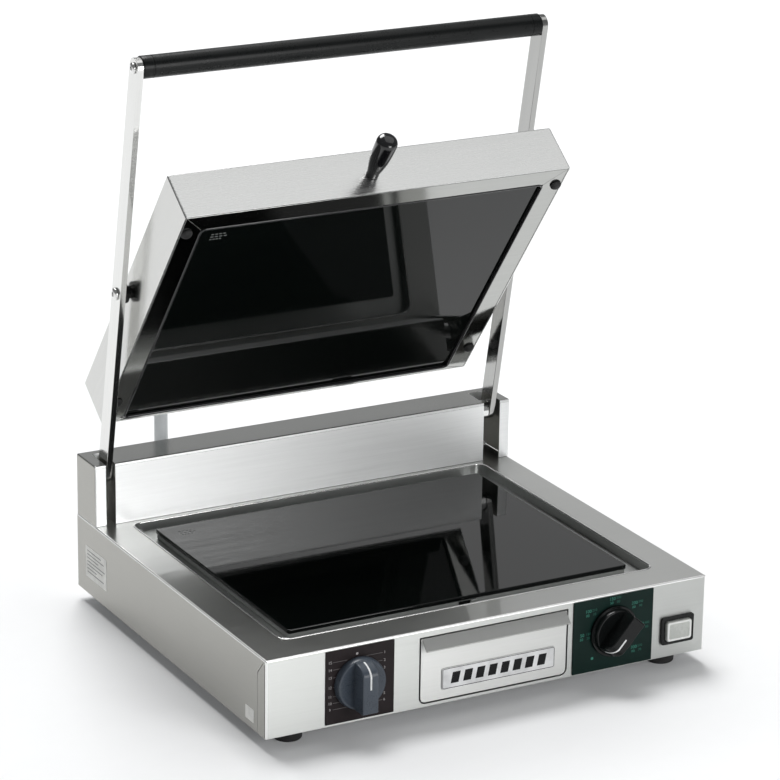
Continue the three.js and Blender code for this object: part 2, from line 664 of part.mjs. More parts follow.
function switchButton() {
  const z = panelZ(SWITCH.z);
  return plateInFront(
    SWITCH.x - BUTTON.w / 2, SWITCH.x + BUTTON.w / 2, z - BUTTON.h / 2, z + BUTTON.h / 2,
    -BUTTON.proud, BUTTON.depth, 2.4
  );
}
piece('switch_button', switchButton(), material(0xc6c8c6, 0.3, 0), press);

// ---------- arms, handle and hinge shaft ----------
// The arms' own frame: origin on the hinge axis, +Z along the arms.
const arms = new THREE.Group();
arms.position.set(0, HINGE_Y, HINGE_Z);
arms.rotation.x = ARM_LEAN;
press.add(arms);

function flatArm() {
  const r = ARM_DEPTH / 2;
  const outline = new THREE.Shape();
  outline.moveTo(-r, 0);
  outline.absarc(0, 0, r, Math.PI, 2 * Math.PI);
  outline.lineTo(r, ARM_TO_HANDLE);
  outline.absarc(0, ARM_TO_HANDLE, r, 0, Math.PI);
  for (const [height, radius] of [[0, SHAFT_R + GAP], [ARM_TO_PIVOT, PIVOT_R + GAP], [ARM_TO_HANDLE, 3.3]]) {
    const hole = new THREE.Path();
    hole.absarc(0, height, radius, 0, 2 * Math.PI, true);
    outline.holes.push(hole);
  }
  // outline is drawn in (y, z); turn it upright and lay its thickness along X
  return extrude(outline, ARM_T, 8).rotateX(Math.PI / 2).rotateZ(Math.PI / 2);
}
piece('arm_left', flatArm(), polishedSteel(), arms).position.x = -ARM_OUTER;
piece('arm_right', flatArm(), polishedSteel(), arms).position.x = ARM_OUTER - ARM_T;

const ARM_INNER = ARM_OUTER - ARM_T;

// Round handle tube with plugged ends that take the handle bolts.
function handleTube() {
  const half = ARM_INNER - GAP;
  const plug = 14;
  return alongX(
    turned(
      closeProfile([
        [3.3, -half], [HANDLE_R, -half], [HANDLE_R, half], [3.3, half],
        [3.3, half - plug], [HANDLE_R - 2.5, half - plug], [HANDLE_R - 2.5, plug - half], [3.3, plug - half],
      ]),
      24
    )
  );
}
piece('handle_tube', handleTube(), blackPlastic(), arms).position.z = ARM_TO_HANDLE;

// Domed screw: the head rises from z = 0, the shank runs down from it.
function domedBolt(headR, headT, shankR, length) {
  return turned([
    [0, -length], [shankR, -length], [shankR, 0], [headR, 0], [headR, headT * 0.5], [headR * 0.7, headT], [0, headT],
  ]);
}
for (const [name, side] of [['handle_bolt_left', -1], ['handle_bolt_right', 1]]) {
  const bolt = piece(name, domedBolt(5, 2.4, 3, ARM_T + GAP + 11), polishedSteel(), arms);
  bolt.rotation.y = (side * Math.PI) / 2;
  bolt.position.set(side * (ARM_OUTER + GAP), 0, ARM_TO_HANDLE);
}
piece('hinge_shaft', barAlongX(SHAFT_R, -ARM_OUTER, ARM_OUTER, 0, 0), zincSteel(), arms);
const collar = ring(SHAFT_R + GAP, 9, SLOT_RIGHT[0] + 1, ARM_INNER - GAP);
piece('hinge_collar', alongX(collar), polishedSteel(), arms);

// ---------- lid pivots ----------
const pivot = new THREE.Group();
pivot.position.set(
  0,
  HINGE_Y - ARM_TO_PIVOT * Math.sin(ARM_LEAN),
  HINGE_Z + ARM_TO_PIVOT * Math.cos(ARM_LEAN)
);
press.add(pivot);

const LID_HALF = LID_W / 2;

// Stepped friction disc between arm and lid: wide against the arm, narrow against the lid.
function pivotDisc() {
  const bore = PIVOT_R + GAP;
  const face = ARM_INNER - GAP;
  return turned(
    closeProfile([[bore, LID_HALF + GAP], [5.6, LID_HALF + GAP], [5.6, face - 3.4], [9.2, face - 3.4], [9.2, face], [bore, face]]),
    24
  );
}
piece('pivot_disc_left', pivotDisc().rotateY(-Math.PI / 2), blackPlastic(), pivot);
piece('pivot_disc_right', pivotDisc().rotateY(Math.PI / 2), blackPlastic(), pivot);

// ---------- lid ----------
const lid = new THREE.Group();
lid.rotation.x = -LID_PITCH;
pivot.add(lid);

for (const [name, side] of [['pivot_bolt_left', -1], ['pivot_bolt_right', 1]]) {
  const bolt = piece(name, domedBolt(5.6, 3, PIVOT_R, ARM_OUTER + GAP - LID_HALF + 9), polishedSteel(), lid);
  bolt.rotation.y = (side * Math.PI) / 2;
  bolt.position.x = side * (ARM_OUTER + GAP);
}

// Cross shaft through the lid, bored for the pivot bolts. Its plate is the stop for the lid's tilt.
const STOP_ANGLE = THREE.MathUtils.degToRad(-13.5);
function lidShaft() {
  const end = LID_HALF - SHEET - GAP;
  const plate = block(-60, 60, -27, 27, -1.5, 1.5);
  const shaft = join(barAlongX(8, -end, end, 0, 0), plate.rotateX(STOP_ANGLE));
  return cut(shaft, barAlongX(PIVOT_R + GAP, -end - 1, end + 1, 0, 0));
}
piece('lid_shaft', lidShaft(), zincSteel(), lid);

const CONDUIT_LID_Y = 92; // where the conduit enters the lid's top

// Folded lid casing, open towards the glass.
function lidCover() {
  const below = 20;
  const outside = common(
    softBlock(-LID_HALF, LID_HALF, LID_FRONT, LID_REAR, LID_BOTTOM - below, LID_TOP, BEND),
    block(-LID_HALF, LID_HALF, LID_FRONT, LID_REAR, LID_BOTTOM, LID_TOP)
  );
  const inside = block(
    -LID_HALF + SHEET, LID_HALF - SHEET, LID_FRONT + SHEET, LID_REAR - SHEET, LID_BOTTOM - 1, LID_TOP - SHEET
  );
  const pivotHole = barAlongX(PIVOT_R + GAP, -LID_HALF - 5, LID_HALF + 5, 0, 0);
  const knobHole = barAlongY(3.3, LID_FRONT - 5, LID_FRONT + 5, LID_KNOB_X, LID_KNOB_Z);
  const conduitHole = bar(8.3, LID_TOP - 5, LID_TOP + 5).translate(CONDUIT_X, CONDUIT_LID_Y, 0);
  return cut(outside, inside, pivotHole, knobHole, conduitHole);
}
piece('lid_cover', lidCover(), brushedSteel(), lid);

// Flat frame round the upper glass; mitre lines are scored at its corners.
function lidFrame() {
  const x = LID_HALF - SHEET - GAP;
  const y0 = LID_FRONT + SHEET + GAP;
  const y1 = LID_REAR - SHEET - GAP;
  const plate = block(-x, x, y0, y1, LID_BOTTOM, LID_BOTTOM + SHEET);
  const opening = plateInPlan(
    -FRAME_OPENING_HALF_W, FRAME_OPENING_HALF_W, FRAME_OPENING_FRONT, FRAME_OPENING_REAR,
    LID_BOTTOM - 1, LID_BOTTOM + SHEET + 1, 1.5
  );
  const score = (cx, cy, angle) => {
    const groove = block(-14, 14, -0.25, 0.25, LID_BOTTOM - 1, LID_BOTTOM + 0.5);
    return groove.rotateZ(angle).translate(cx, cy, 0);
  };
  const middleX = (x + FRAME_OPENING_HALF_W) / 2;
  const mitres = [
    score(-middleX, (y0 + FRAME_OPENING_FRONT) / 2, Math.PI / 4),
    score(middleX, (y0 + FRAME_OPENING_FRONT) / 2, -Math.PI / 4),
    score(-middleX, y1 - 9, -Math.PI / 4),
    score(middleX, y1 - 9, Math.PI / 4),
  ];
  return cut(plate, opening, ...mitres);
}
piece('lid_frame', lidFrame(), polishedSteel(), lid);

const UPPER_SEAL_Z = LID_BOTTOM + SHEET + GAP;
const UPPER_GLASS_Z = UPPER_SEAL_Z + UPPER_SEAL_T + GAP;
const UPPER_GLASS_HALF_W = FRAME_OPENING_HALF_W + 6;
const UPPER_GLASS_FRONT = FRAME_OPENING_FRONT - 6;
const UPPER_GLASS_REAR = LID_REAR - SHEET - GAP - 0.5;
function upperSeal() {
  const band = plateInPlan(
    -UPPER_GLASS_HALF_W, UPPER_GLASS_HALF_W, UPPER_GLASS_FRONT, UPPER_GLASS_REAR,
    UPPER_SEAL_Z, UPPER_SEAL_Z + UPPER_SEAL_T, 3
  );
  const opening = plateInPlan(
    -FRAME_OPENING_HALF_W + 1.4, FRAME_OPENING_HALF_W - 1.4, FRAME_OPENING_FRONT + 1.4, FRAME_OPENING_REAR - 1,
    UPPER_SEAL_Z - 1, UPPER_SEAL_Z + 2, 1.5
  );
  return cut(band, opening);
}
piece('upper_glass_seal', upperSeal(), blackRubber(), lid);
piece(
  'upper_glass',
  plateInPlan(
    -UPPER_GLASS_HALF_W, UPPER_GLASS_HALF_W, UPPER_GLASS_FRONT, UPPER_GLASS_REAR,
    UPPER_GLASS_Z, UPPER_GLASS_Z + GLASS_T, 2.5
  ),
  blackGlass(),
  lid
);

// The upper heater lies face down: the same dish and element, turned over.
const UPPER_DISH_Y = [FRAME_OPENING_FRONT + 12, FRAME_OPENING_REAR - 18];
const UPPER_DISH_Z = UPPER_GLASS_Z + GLASS_T + GAP + HEATER.depth;
piece(
  'upper_heater_dish',
  heaterDish(...UPPER_DISH_Y, -UPPER_DISH_Z).mirror([0, 0, 1]),
  fibreBoard(),
  lid
);
piece(
  'upper_heating_element',
  heatingElement(...UPPER_DISH_Y, UPPER_DISH_Z - HEATER.floor - 6),
  zincSteel(),
  lid
);

// Rubber bumpers that hold the closed lid just clear of the base.
function bumper() {
  const z = LID_BOTTOM - GAP;
  return turned([[0, z], [5.2, z], [5.2, z - BUMPER_H * 0.45], [3.8, z - BUMPER_H * 0.85], [2, z - BUMPER_H], [0, z - BUMPER_H]].reverse());
}
for (const [name, x, y] of [
  ['bumper_front_left', -1, BUMPER_FRONT],
  ['bumper_front_right', 1, BUMPER_FRONT],
  ['bumper_rear_left', -1, BUMPER_REAR],
  ['bumper_rear_right', 1, BUMPER_REAR],
]) {
  piece(name, bumper(), blackRubber(), lid).position.set(x * BUMPER_X, y, 0);
}

// Tapered knob with a domed end on the lid's front band, with a stud through the sheet.
function lidKnob() {
  return alongMinusY(
    turned([
      [0, -8], [3, -8], [3, GAP], [4.8, GAP], [5, 4], [5.8, 8], [7.2, 14], [8.1, 20], [8.7, 27], [9.3, 34],
      [9.6, 39], [8.8, 43.4], [6.6, 46.6], [3.6, 48.2], [0, 48.7],
    ], 24)
  );
}
piece('lid_knob', lidKnob(), blackPlastic(), lid).position.set(LID_KNOB_X, LID_FRONT, LID_KNOB_Z);
const conduitGlandLid = piece('conduit_gland_lid', gland(CONDUIT_R + GAP), blackPlastic(), lid);
conduitGlandLid.position.set(CONDUIT_X, CONDUIT_LID_Y, LID_TOP);

// ---------- conduit ----------
// It leaves the back of the base, hangs up behind the housing and turns over into the lid's top.
function conduitRoute() {
  lid.updateWorldMatrix(true, false);
  const onLid = (height) =>
    new THREE.Vector3(CONDUIT_X, CONDUIT_LID_Y, LID_TOP + height).applyMatrix4(lid.matrixWorld);
  const at = (y, z) => new THREE.Vector3(CONDUIT_X, y, z);
  const bendR = 26;
  const low = CONDUIT_GLAND_Z;
  const entry = onLid(-6);
  const exit = onLid(30);
  return new THREE.CatmullRomCurve3([
    at(BASE_D - 4, low),
    at(BASE_D + 8, low),
    at(BASE_D + 20, low),
    at(CONDUIT_Y - bendR * 0.35, low + bendR * 0.3),
    at(CONDUIT_Y, low + bendR),
    at(CONDUIT_Y + 1, low + 90),
    at(CONDUIT_Y + 1, exit.z - 34),
    at(CONDUIT_Y - 3, exit.z - 8),
    exit,
    onLid(19),
    onLid(7),
    entry,
  ]);
}
piece('conduit', sweep(conduitRoute(), CONDUIT_R, 10, 36), material(0xcfd2d4, 0.4, 0.6), press);

// The frame's origin is the middle of the whole object's footprint, on the surface it stands on.
const extent = new THREE.Box3().setFromObject(press);
press.position.set(0, -(extent.min.y + extent.max.y) / 2, 0);
press.updateMatrixWorld(true);

export default press;
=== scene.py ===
"""Looks of the panini press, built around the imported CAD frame. Metres, the same frame as the CAD."""

import json
import math

import bmesh
import bpy
from mathutils import Matrix, Vector

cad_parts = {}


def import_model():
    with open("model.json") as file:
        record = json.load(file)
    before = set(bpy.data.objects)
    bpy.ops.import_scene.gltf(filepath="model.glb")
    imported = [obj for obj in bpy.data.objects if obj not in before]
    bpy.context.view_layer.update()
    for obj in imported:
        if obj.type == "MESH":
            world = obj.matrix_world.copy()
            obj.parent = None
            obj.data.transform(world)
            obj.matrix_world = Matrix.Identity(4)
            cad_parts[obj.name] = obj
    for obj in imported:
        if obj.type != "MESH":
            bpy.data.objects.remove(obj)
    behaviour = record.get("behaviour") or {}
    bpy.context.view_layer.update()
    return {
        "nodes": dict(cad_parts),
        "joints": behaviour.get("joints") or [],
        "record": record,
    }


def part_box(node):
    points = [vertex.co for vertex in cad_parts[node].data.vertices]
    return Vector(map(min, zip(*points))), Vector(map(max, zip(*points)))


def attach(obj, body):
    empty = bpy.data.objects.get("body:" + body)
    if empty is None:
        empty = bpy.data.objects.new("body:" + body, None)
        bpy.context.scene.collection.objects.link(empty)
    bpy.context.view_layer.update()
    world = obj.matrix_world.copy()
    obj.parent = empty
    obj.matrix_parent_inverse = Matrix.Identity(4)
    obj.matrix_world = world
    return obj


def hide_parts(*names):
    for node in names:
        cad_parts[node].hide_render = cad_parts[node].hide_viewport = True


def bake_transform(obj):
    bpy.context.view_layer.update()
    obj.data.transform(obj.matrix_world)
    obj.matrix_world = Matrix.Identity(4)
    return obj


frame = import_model()

MM = 0.001
RECORD = frame["record"]
NODE_SLOT = {part["node"]: part["material_slot"] for part in RECORD["subparts"]}
NODE_BODY = {node: body for body, nodes in RECORD["behaviour"]["bodies"].items() for node in nodes}
JOINT_AT = {j["name"]: Vector(j["pos_m"]) for j in frame["joints"] if "pos_m" in j}

# ---------- places on the press ----------
SHELL_LOW, SHELL_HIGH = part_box("base_shell")
FRONT = SHELL_LOW.y
BACK = SHELL_HIGH.y
LID_PITCH = math.radians(-52.9)
hinge = JOINT_AT["arm_swing"]
pivot = JOINT_AT["lid_level"]
ARM_LEAN = math.atan2(hinge.y - pivot.y, pivot.z - hinge.z)
UPRIGHT = Matrix.Identity(4)
LID = Matrix.Translation(pivot) @ Matrix.Rotation(LID_PITCH, 4, "X")
ARMS = Matrix.Translation(hinge) @ Matrix.Rotation(ARM_LEAN, 4, "X")


def facing_front(x, y, z):
    """Local x runs to the right, y up and z out towards the operator."""
    return Matrix(((1, 0, 0, x), (0, 0, -1, y), (0, 1, 0, z), (0, 0, 0, 1)))


BODY_PLACE = {"lid": LID, "lid_carrier": LID, "arms": ARMS}


# ---------- camera, light and floor ----------
CAMERA_AZIMUTH, CAMERA_ELEVATION, CAMERA_ROLL = 28.733, 18.636, 0.82  # degrees
CAMERA_AT = (-1.3912, FRONT - 2.3499, 1.2037)
CAMERA_LENS = 160.6


def camera():
    azimuth, elevation, roll = (math.radians(a) for a in (CAMERA_AZIMUTH, CAMERA_ELEVATION, CAMERA_ROLL))
    forward = Vector((
        math.sin(azimuth) * math.cos(elevation),
        math.cos(azimuth) * math.cos(elevation),
        -math.sin(elevation),
    ))
    level = forward.cross(Vector((0, 0, 1))).normalized()
    above = level.cross(forward)
    right = level * math.cos(roll) + above * math.sin(roll)
    up = right.cross(forward)
    data = bpy.data.cameras.new("camera")
    data.lens = CAMERA_LENS
    data.sensor_width = 36
    data.clip_start, data.clip_end = 0.05, 60
    obj = bpy.data.objects.new("camera", data)
    bpy.context.scene.collection.objects.link(obj)
    turn = Matrix((right, up, -forward)).transposed().to_4x4()
    obj.matrix_world = Matrix.Translation(CAMERA_AT) @ turn
    bpy.context.scene.camera = obj


def area_light(name, place, target, size, watts):
    data = bpy.data.lights.new(name, "AREA")
    data.shape = "RECTANGLE"
    data.size, data.size_y = size
    data.energy = watts
    obj = bpy.data.objects.new(name, data)
    bpy.context.scene.collection.objects.link(obj)
    obj.location = place
    obj.rotation_mode = "QUATERNION"
    obj.rotation_quaternion = (Vector(target) - Vector(place)).to_track_quat("-Z", "Y")


def world():
    made = bpy.data.worlds.new("studio")
    made.use_nodes = True
    background = made.node_tree.nodes["Background"]
    background.inputs["Color"].default_value = (0.97, 0.985, 1.0, 1)
    background.inputs["Strength"].default_value = 0.2
    bpy.context.scene.world = made


camera()
world()
area_light("ceiling", (0.3, 2.6, 5.2), (0, 0, 0), (3.0, 3.0), 350)
area_light("backdrop", (2.1, 3.7, 1.4), (0, 0, 0.1), (4.5, 2.6), 13)
area_light("top_right", (1.5, -0.3, 3.2), (0, 0, 0.3), (1.8, 1.8), 8)
area_light("front", (0.54, -2.2, 0.75), (0, 0, 0.1), (0.9, 1.1), 19)
bpy.context.scene.view_settings.view_transform = "Standard"
bpy.context.scene.view_settings.look = "None"


# ---------- materials ----------
class Graph:
    """Short names for building one material's nodes."""

    def __init__(self, name, **shader):
        self.material = bpy.data.materials.new(name)
        self.material.use_nodes = True
        self.nodes = self.material.node_tree.nodes
        self.links = self.material.node_tree.links
        self.shader = self.nodes["Principled BSDF"]
        for key, value in shader.items():
            self.shader.inputs[key.replace("_", " ")].default_value = value
        self.place = self.nodes.new("ShaderNodeTexCoord").outputs["Object"]

    def link(self, source, target):
        self.links.new(source, target)

    def noise(self, scale, detail=2.0, roughness=0.5, stretch=(1, 1, 1), distortion=0.0):
        mapping = self.nodes.new("ShaderNodeMapping")
        mapping.inputs["Scale"].default_value = stretch
        self.link(self.place, mapping.inputs["Vector"])
        node = self.nodes.new("ShaderNodeTexNoise")
        node.inputs["Scale"].default_value = scale
        node.inputs["Detail"].default_value = detail
        node.inputs["Roughness"].default_value = roughness
        node.inputs["Distortion"].default_value = distortion
        self.link(mapping.outputs["Vector"], node.inputs["Vector"])
        return node.outputs["Fac"]

    def ranged(self, value, low, high, start=0.3, end=0.7):
        node = self.nodes.new("ShaderNodeMapRange")
        node.inputs["From Min"].default_value = start
        node.inputs["From Max"].default_value = end
        node.inputs["To Min"].default_value = low
        node.inputs["To Max"].default_value = high
        self.link(value, node.inputs["Value"])
        return node.outputs["Result"]

    def mixed(self, factor, low, high):
        node = self.nodes.new("ShaderNodeMix")
        node.data_type = "RGBA"
        node.inputs["A"].default_value = (*low, 1)
        node.inputs["B"].default_value = (*high, 1)
        for socket in node.inputs:
            if socket.name == "Factor" and socket.type == "VALUE":
                self.link(factor, socket)
                break
        return next(s for s in node.outputs if s.type == "RGBA")

    def added(self, a, b):
        node = self.nodes.new("ShaderNodeMath")
        node.operation = "ADD"
        self.link(a, node.inputs[0])
        self.link(b, node.inputs[1])
        return node.outputs["Value"]

    def colour(self, value):
        self.link(value, self.shader.inputs["Base Color"])

    def roughness(self, value):
        self.link(value, self.shader.inputs["Roughness"])

    def bump(self, height, distance):
        node = self.nodes.new("ShaderNodeBump")
        node.inputs["Strength"].default_value = 1.0
        node.inputs["Distance"].default_value = distance
        self.link(height, node.inputs["Height"])
        self.link(node.outputs["Normal"], self.shader.inputs["Normal"])


def mix_colours(graph, low, high, factor):
    graph.colour(graph.mixed(factor, low, high))


def scaled(colour, factor):
    return tuple(min(1.0, c * factor) for c in colour)


GRAIN = {"x": (0.012, 1, 1), "y": (1, 0.012, 1), "z": (1, 1, 0.012)}


def brushed(name, colour, roughness, grain="x", spread=0.05, smear=0.0):
    """Sheet steel with a drawn grain along one axis; smear draws its reflections out across the grain."""
    g = Graph(name, Metallic=1.0, Anisotropic=smear)
    if smear:
        g.shader.inputs["Anisotropic Rotation"].default_value = 0.25
        along = g.nodes.new("ShaderNodeCombineXYZ")
        along.inputs["X"].default_value = 1.0
        g.link(along.outputs["Vector"], g.shader.inputs["Tangent"])
    fine = g.noise(2600, 2, 0.6, GRAIN[grain])
    streak = g.noise(420, 3, 0.55, GRAIN[grain])
    cloud = g.noise(9, 3, 0.6)
    both = g.added(g.ranged(fine, 0, 0.5), g.ranged(streak, 0, 0.5))
    mix_colours(g, scaled(colour, 1 - spread), scaled(colour, 1 + spread), both)
    rough = g.added(
        g.ranged(both, roughness * 0.8, roughness * 1.15, 0, 1), g.ranged(cloud, -0.02, 0.02)
    )
    g.roughness(rough)
    g.bump(fine, 0.00001)
    return g.material


def polished(name, colour, roughness, grain="x", gloss=0.0):
    """Bright rolled sheet with a faint grain and soft waves; gloss lays a sharp image over the satin one."""
    g = Graph(name, Metallic=1.0, Coat_Weight=gloss, Coat_IOR=1.8, Coat_Roughness=0.05)
    fine = g.noise(2200, 2, 0.5, GRAIN[grain])
    wave = g.noise(14, 2, 0.5)
    smear = g.noise(60, 4, 0.6, GRAIN[grain])
    mix_colours(g, scaled(colour, 0.975), scaled(colour, 1.02), smear)
    g.roughness(g.added(g.ranged(fine, roughness * 0.9, roughness * 1.08), g.ranged(wave, -0.01, 0.015)))
    g.bump(wave, 0.00005)
    return g.material


def moulded(name, colour, roughness, pore=900, bump=0.00002, coat=0.0, spread=0.12, ior=1.45):
    """Moulded plastic or rubber with a fine pebbled skin and slight unevenness."""
    g = Graph(name, Coat_Weight=coat, Coat_Roughness=0.08, IOR=ior)
    pores = g.noise(pore, 3, 0.6)
    cloud = g.noise(35, 3, 0.6)
    mix_colours(g, scaled(colour, 1 - spread), scaled(colour, 1 + spread), g.ranged(cloud, 0, 1))
    g.roughness(g.added(g.ranged(pores, roughness * 0.85, roughness * 1.15), g.ranged(cloud, -0.03, 0.03)))
    g.bump(pores, bump)
    return g.material


def black_glass(name):
    """Glass-ceramic: black, very smooth, with faint wiping marks."""
    g = Graph(name, IOR=1.42)
    wipe = g.noise(16, 5, 0.65, (0.35, 1, 1), 0.6)
    speck = g.noise(1400, 2, 0.5)
    mix_colours(g, (0.0015, 0.0022, 0.0020), (0.0035, 0.0048, 0.0043), wipe)
    g.roughness(g.added(g.ranged(wipe, 0.012, 0.04), g.ranged(speck, 0, 0.012)))
    return g.material


def printed(name, colour, roughness):
    """Printed metal plate: even ink with a slight tooth."""
    g = Graph(name, IOR=1.22)
    tooth = g.noise(1800, 2, 0.6)
    cloud = g.noise(70, 3, 0.6)
    mix_colours(g, scaled(colour, 0.85), scaled(colour, 1.15), g.ranged(cloud, 0, 1))
    g.roughness(g.ranged(tooth, roughness * 0.85, roughness * 1.2))
    g.bump(tooth, 0.00001)
    return g.material


def mineral(name, colour):
    """Pressed mineral fibre or unglazed ceramic."""
    g = Graph(name)
    fibre = g.noise(500, 5, 0.7, (1, 0.3, 1), 1.0)
    mix_colours(g, scaled(colour, 0.82), scaled(colour, 1.05), fibre)
    g.roughness(g.ranged(fibre, 0.8, 0.95))
    g.bump(fibre, 0.0002)
    return g.material


STEEL = (0.68, 0.685, 0.675)
M = {
    "front_steel": brushed("front_steel", (0.60, 0.612, 0.595), 0.45, "x", smear=0.85),
    # The sides get a darker copy of the steel: painted shade.
    "side_steel": brushed("side_steel", (0.39, 0.385, 0.36), 0.34, "y"),
    "top_steel": polished("top_steel", (0.43, 0.435, 0.42), 0.34, "x", 1.0),
    # The bends at the outer edges get a near-white copy of the steel: painted highlight.
    "fold_painted_highlight_steel": polished("fold_painted_highlight_steel", (0.92, 0.92, 0.91), 0.32, "x"),
    "recess_steel": polished("recess_steel", (0.55, 0.56, 0.55), 0.36, "x"),
    # The housing front gets a near-white copy of the steel: painted light.
    "housing_front_painted_light_steel": brushed("housing_front_painted_light_steel", (0.93, 0.94, 0.935), 0.45, "x", smear=0.85),
    "housing_steel": polished("housing_steel", (0.33, 0.335, 0.325), 0.2, "x"),
    "lid_steel": brushed("lid_steel", STEEL, 0.28, "x", spread=0.015),
    "lid_side_steel": brushed("lid_side_steel", (0.62, 0.62, 0.605), 0.2, "y"),
    # The sloping drawer lip gets a darker copy of the drawer steel: painted shade.
    "lip_painted_shade_steel": brushed("lip_painted_shade_steel", (0.55, 0.555, 0.54), 0.4, "x", spread=0.02),
    "drawer_steel": brushed("drawer_steel", (0.70, 0.705, 0.69), 0.45, "x", smear=0.85),
    "frame_steel": brushed("frame_steel", (0.46, 0.465, 0.45), 0.1, "x"),
    "knob_black": moulded("knob_black", (0.006, 0.006, 0.007), 0.16, 900, 0.00001, 0.5),
    "arm_steel": brushed("arm_steel", (0.76, 0.76, 0.745), 0.13, "z"),
    # The right arm gets a darker copy of the arm steel: painted shade.
    "right_arm_steel": brushed("right_arm_steel", (0.43, 0.43, 0.42), 0.15, "z"),
    "bolt_steel": polished("bolt_steel", (0.78, 0.78, 0.77), 0.16, "z"),
    "inner_steel": brushed("inner_steel", (0.5, 0.51, 0.52), 0.42, "x"),
    "plate_glass": black_glass("plate_glass"),
    "black_plastic": moulded("black_plastic", (0.006, 0.007, 0.007), 0.16, ior=1.32),
    "handle_black": moulded("handle_black", (0.006, 0.007, 0.007), 0.3, 700, ior=1.3),
    "knob_grey": moulded("knob_grey", (0.052, 0.065, 0.084), 0.3, 1100, 0.000015),
    "rubber_black": moulded("rubber_black", (0.014, 0.014, 0.014), 0.62, 600, 0.00004),
    "seal_grey": moulded("seal_grey", (0.36, 0.375, 0.36), 0.5, 500, 0.0003),
    "switch_lens": moulded("switch_lens", (0.46, 0.475, 0.45), 0.28, 400, 0.00001, 0.4, 0.05),
    "lens_rim": moulded("lens_rim", (0.78, 0.79, 0.77), 0.25, 400, 0.00001, 0.4, 0.04),
    "timer_dial": printed("timer_dial", (0.022, 0.017, 0.018), 0.42),
    "thermostat_dial": printed("thermostat_dial", (0.0035, 0.016, 0.013), 0.36),
    "timer_print": printed("timer_print", (0.40, 0.38, 0.38), 0.5),
    "timer_line": printed("timer_line", (0.17, 0.16, 0.16), 0.5),
    "thermostat_print": printed("thermostat_print", (0.05, 0.22, 0.165), 0.5),
    "thermostat_print_dim": printed("thermostat_print_dim", (0.028, 0.12, 0.09), 0.5),
    "pointer_white": printed("pointer_white", (0.82, 0.83, 0.83), 0.35),
    "badge_white": printed("badge_white", (0.74, 0.745, 0.75), 0.32),
    "badge_print": printed("badge_print", (0.012, 0.012, 0.013), 0.4),
    "label_silver": printed("label_silver", (0.80, 0.80, 0.77), 0.4),
    "label_print": printed("label_print", (0.26, 0.26, 0.26), 0.5),
    "glass_print": printed("glass_print", (0.16, 0.17, 0.165), 0.4),
    "board": mineral("board", (0.8, 0.77, 0.7)),
    "ceramic": mineral("ceramic", (0.84, 0.83, 0.8)),
    "conduit_skin": moulded("conduit_skin", (0.56, 0.58, 0.59), 0.3, 800, 0.00002, 0.2, 0.06),
    # Flat black that stands in for shade in holes and recesses and for the dark reflection at the corner
    # fold.
    "dark_gap": moulded("dark_gap", (0.006, 0.006, 0.006), 0.7, ior=1.2),
}
SLOT_LOOK = {
    "stainless": "front_steel", "polished_steel": "bolt_steel", "inner_steel": "inner_steel",
    "plate_glass": "plate_glass", "black_plastic": "black_plastic", "grey_knob": "knob_grey",
    "switch_lens": "switch_lens", "timer_dial": "timer_dial", "thermostat_dial": "thermostat_dial",
    "badge_white": "badge_white", "rubber_black": "rubber_black", "board": "board",
    "ceramic": "ceramic", "conduit_skin": "conduit_skin",
}


def floor():
    g = Graph("floor_paint", Roughness=0.9)
    tooth = g.noise(40, 3, 0.6)
    mix_colours(g, (0.80, 0.805, 0.81), (0.82, 0.825, 0.83), tooth)
    g.shader.inputs["Emission Color"].default_value = (1, 1, 1, 1)
    g.shader.inputs["Emission Strength"].default_value = 0.05
    bm = bmesh.new()
    reach = 14
    corners = ((-reach, -reach), (reach, -reach), (reach, reach), (-reach, reach))
    bm.faces.new([bm.verts.new((x, y, 0)) for x, y in corners])
    mesh = bpy.data.meshes.new("floor")
    bm.to_mesh(mesh)
    bm.free()
    mesh.materials.append(g.material)
    obj = bpy.data.objects.new("floor", mesh)
    bpy.context.scene.collection.objects.link(obj)


floor()


# ---------- making pieces ----------
ROUNDED_ANGLE = math.radians(35)  # edges sharper than this are rounded
SHARP_ANGLE = math.radians(50)  # and past this they shade as a corner


def softened(obj, width, segments):
    """Rounded edges, with flat faces that stay flat in the light."""
    if width:
        bevel = obj.modifiers.new("rounded_edges", "BEVEL")
        bevel.width = width * MM
        bevel.segments = segments
        bevel.limit_method = "ANGLE"
        bevel.angle_limit = ROUNDED_ANGLE
        bevel.use_clamp_overlap = True
        bevel.miter_outer = "MITER_ARC"
    weighted = obj.modifiers.new("flat_faces", "WEIGHTED_NORMAL")
    weighted.keep_sharp = True
    weighted.weight = 60


def make(name, bm, place, body, look, stands_for=(), bevel=0.0, segments=2):
    """Turns a bmesh made in local coordinates into a piece that rides on a body."""
    mesh = bpy.data.meshes.new(name)
    bm.to_mesh(mesh)
    bm.free()
    if "custom_normal" in mesh.attributes:
        mesh.attributes.remove(mesh.attributes["custom_normal"])
    picked = [face.material_index for face in mesh.polygons]
    mesh.materials.clear()
    for key in [look] if isinstance(look, str) else look:
        mesh.materials.append(M[key])
    mesh.polygons.foreach_set("material_index", picked)
    mesh.polygons.foreach_set("use_smooth", [True] * len(mesh.polygons))
    mesh.set_sharp_from_angle(angle=SHARP_ANGLE)
    obj = bpy.data.objects.new(name, mesh)
    bpy.context.scene.collection.objects.link(obj)
    obj.matrix_world = place
    softened(obj, bevel, segments)
    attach(obj, body)
    if stands_for:
        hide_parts(*stands_for)


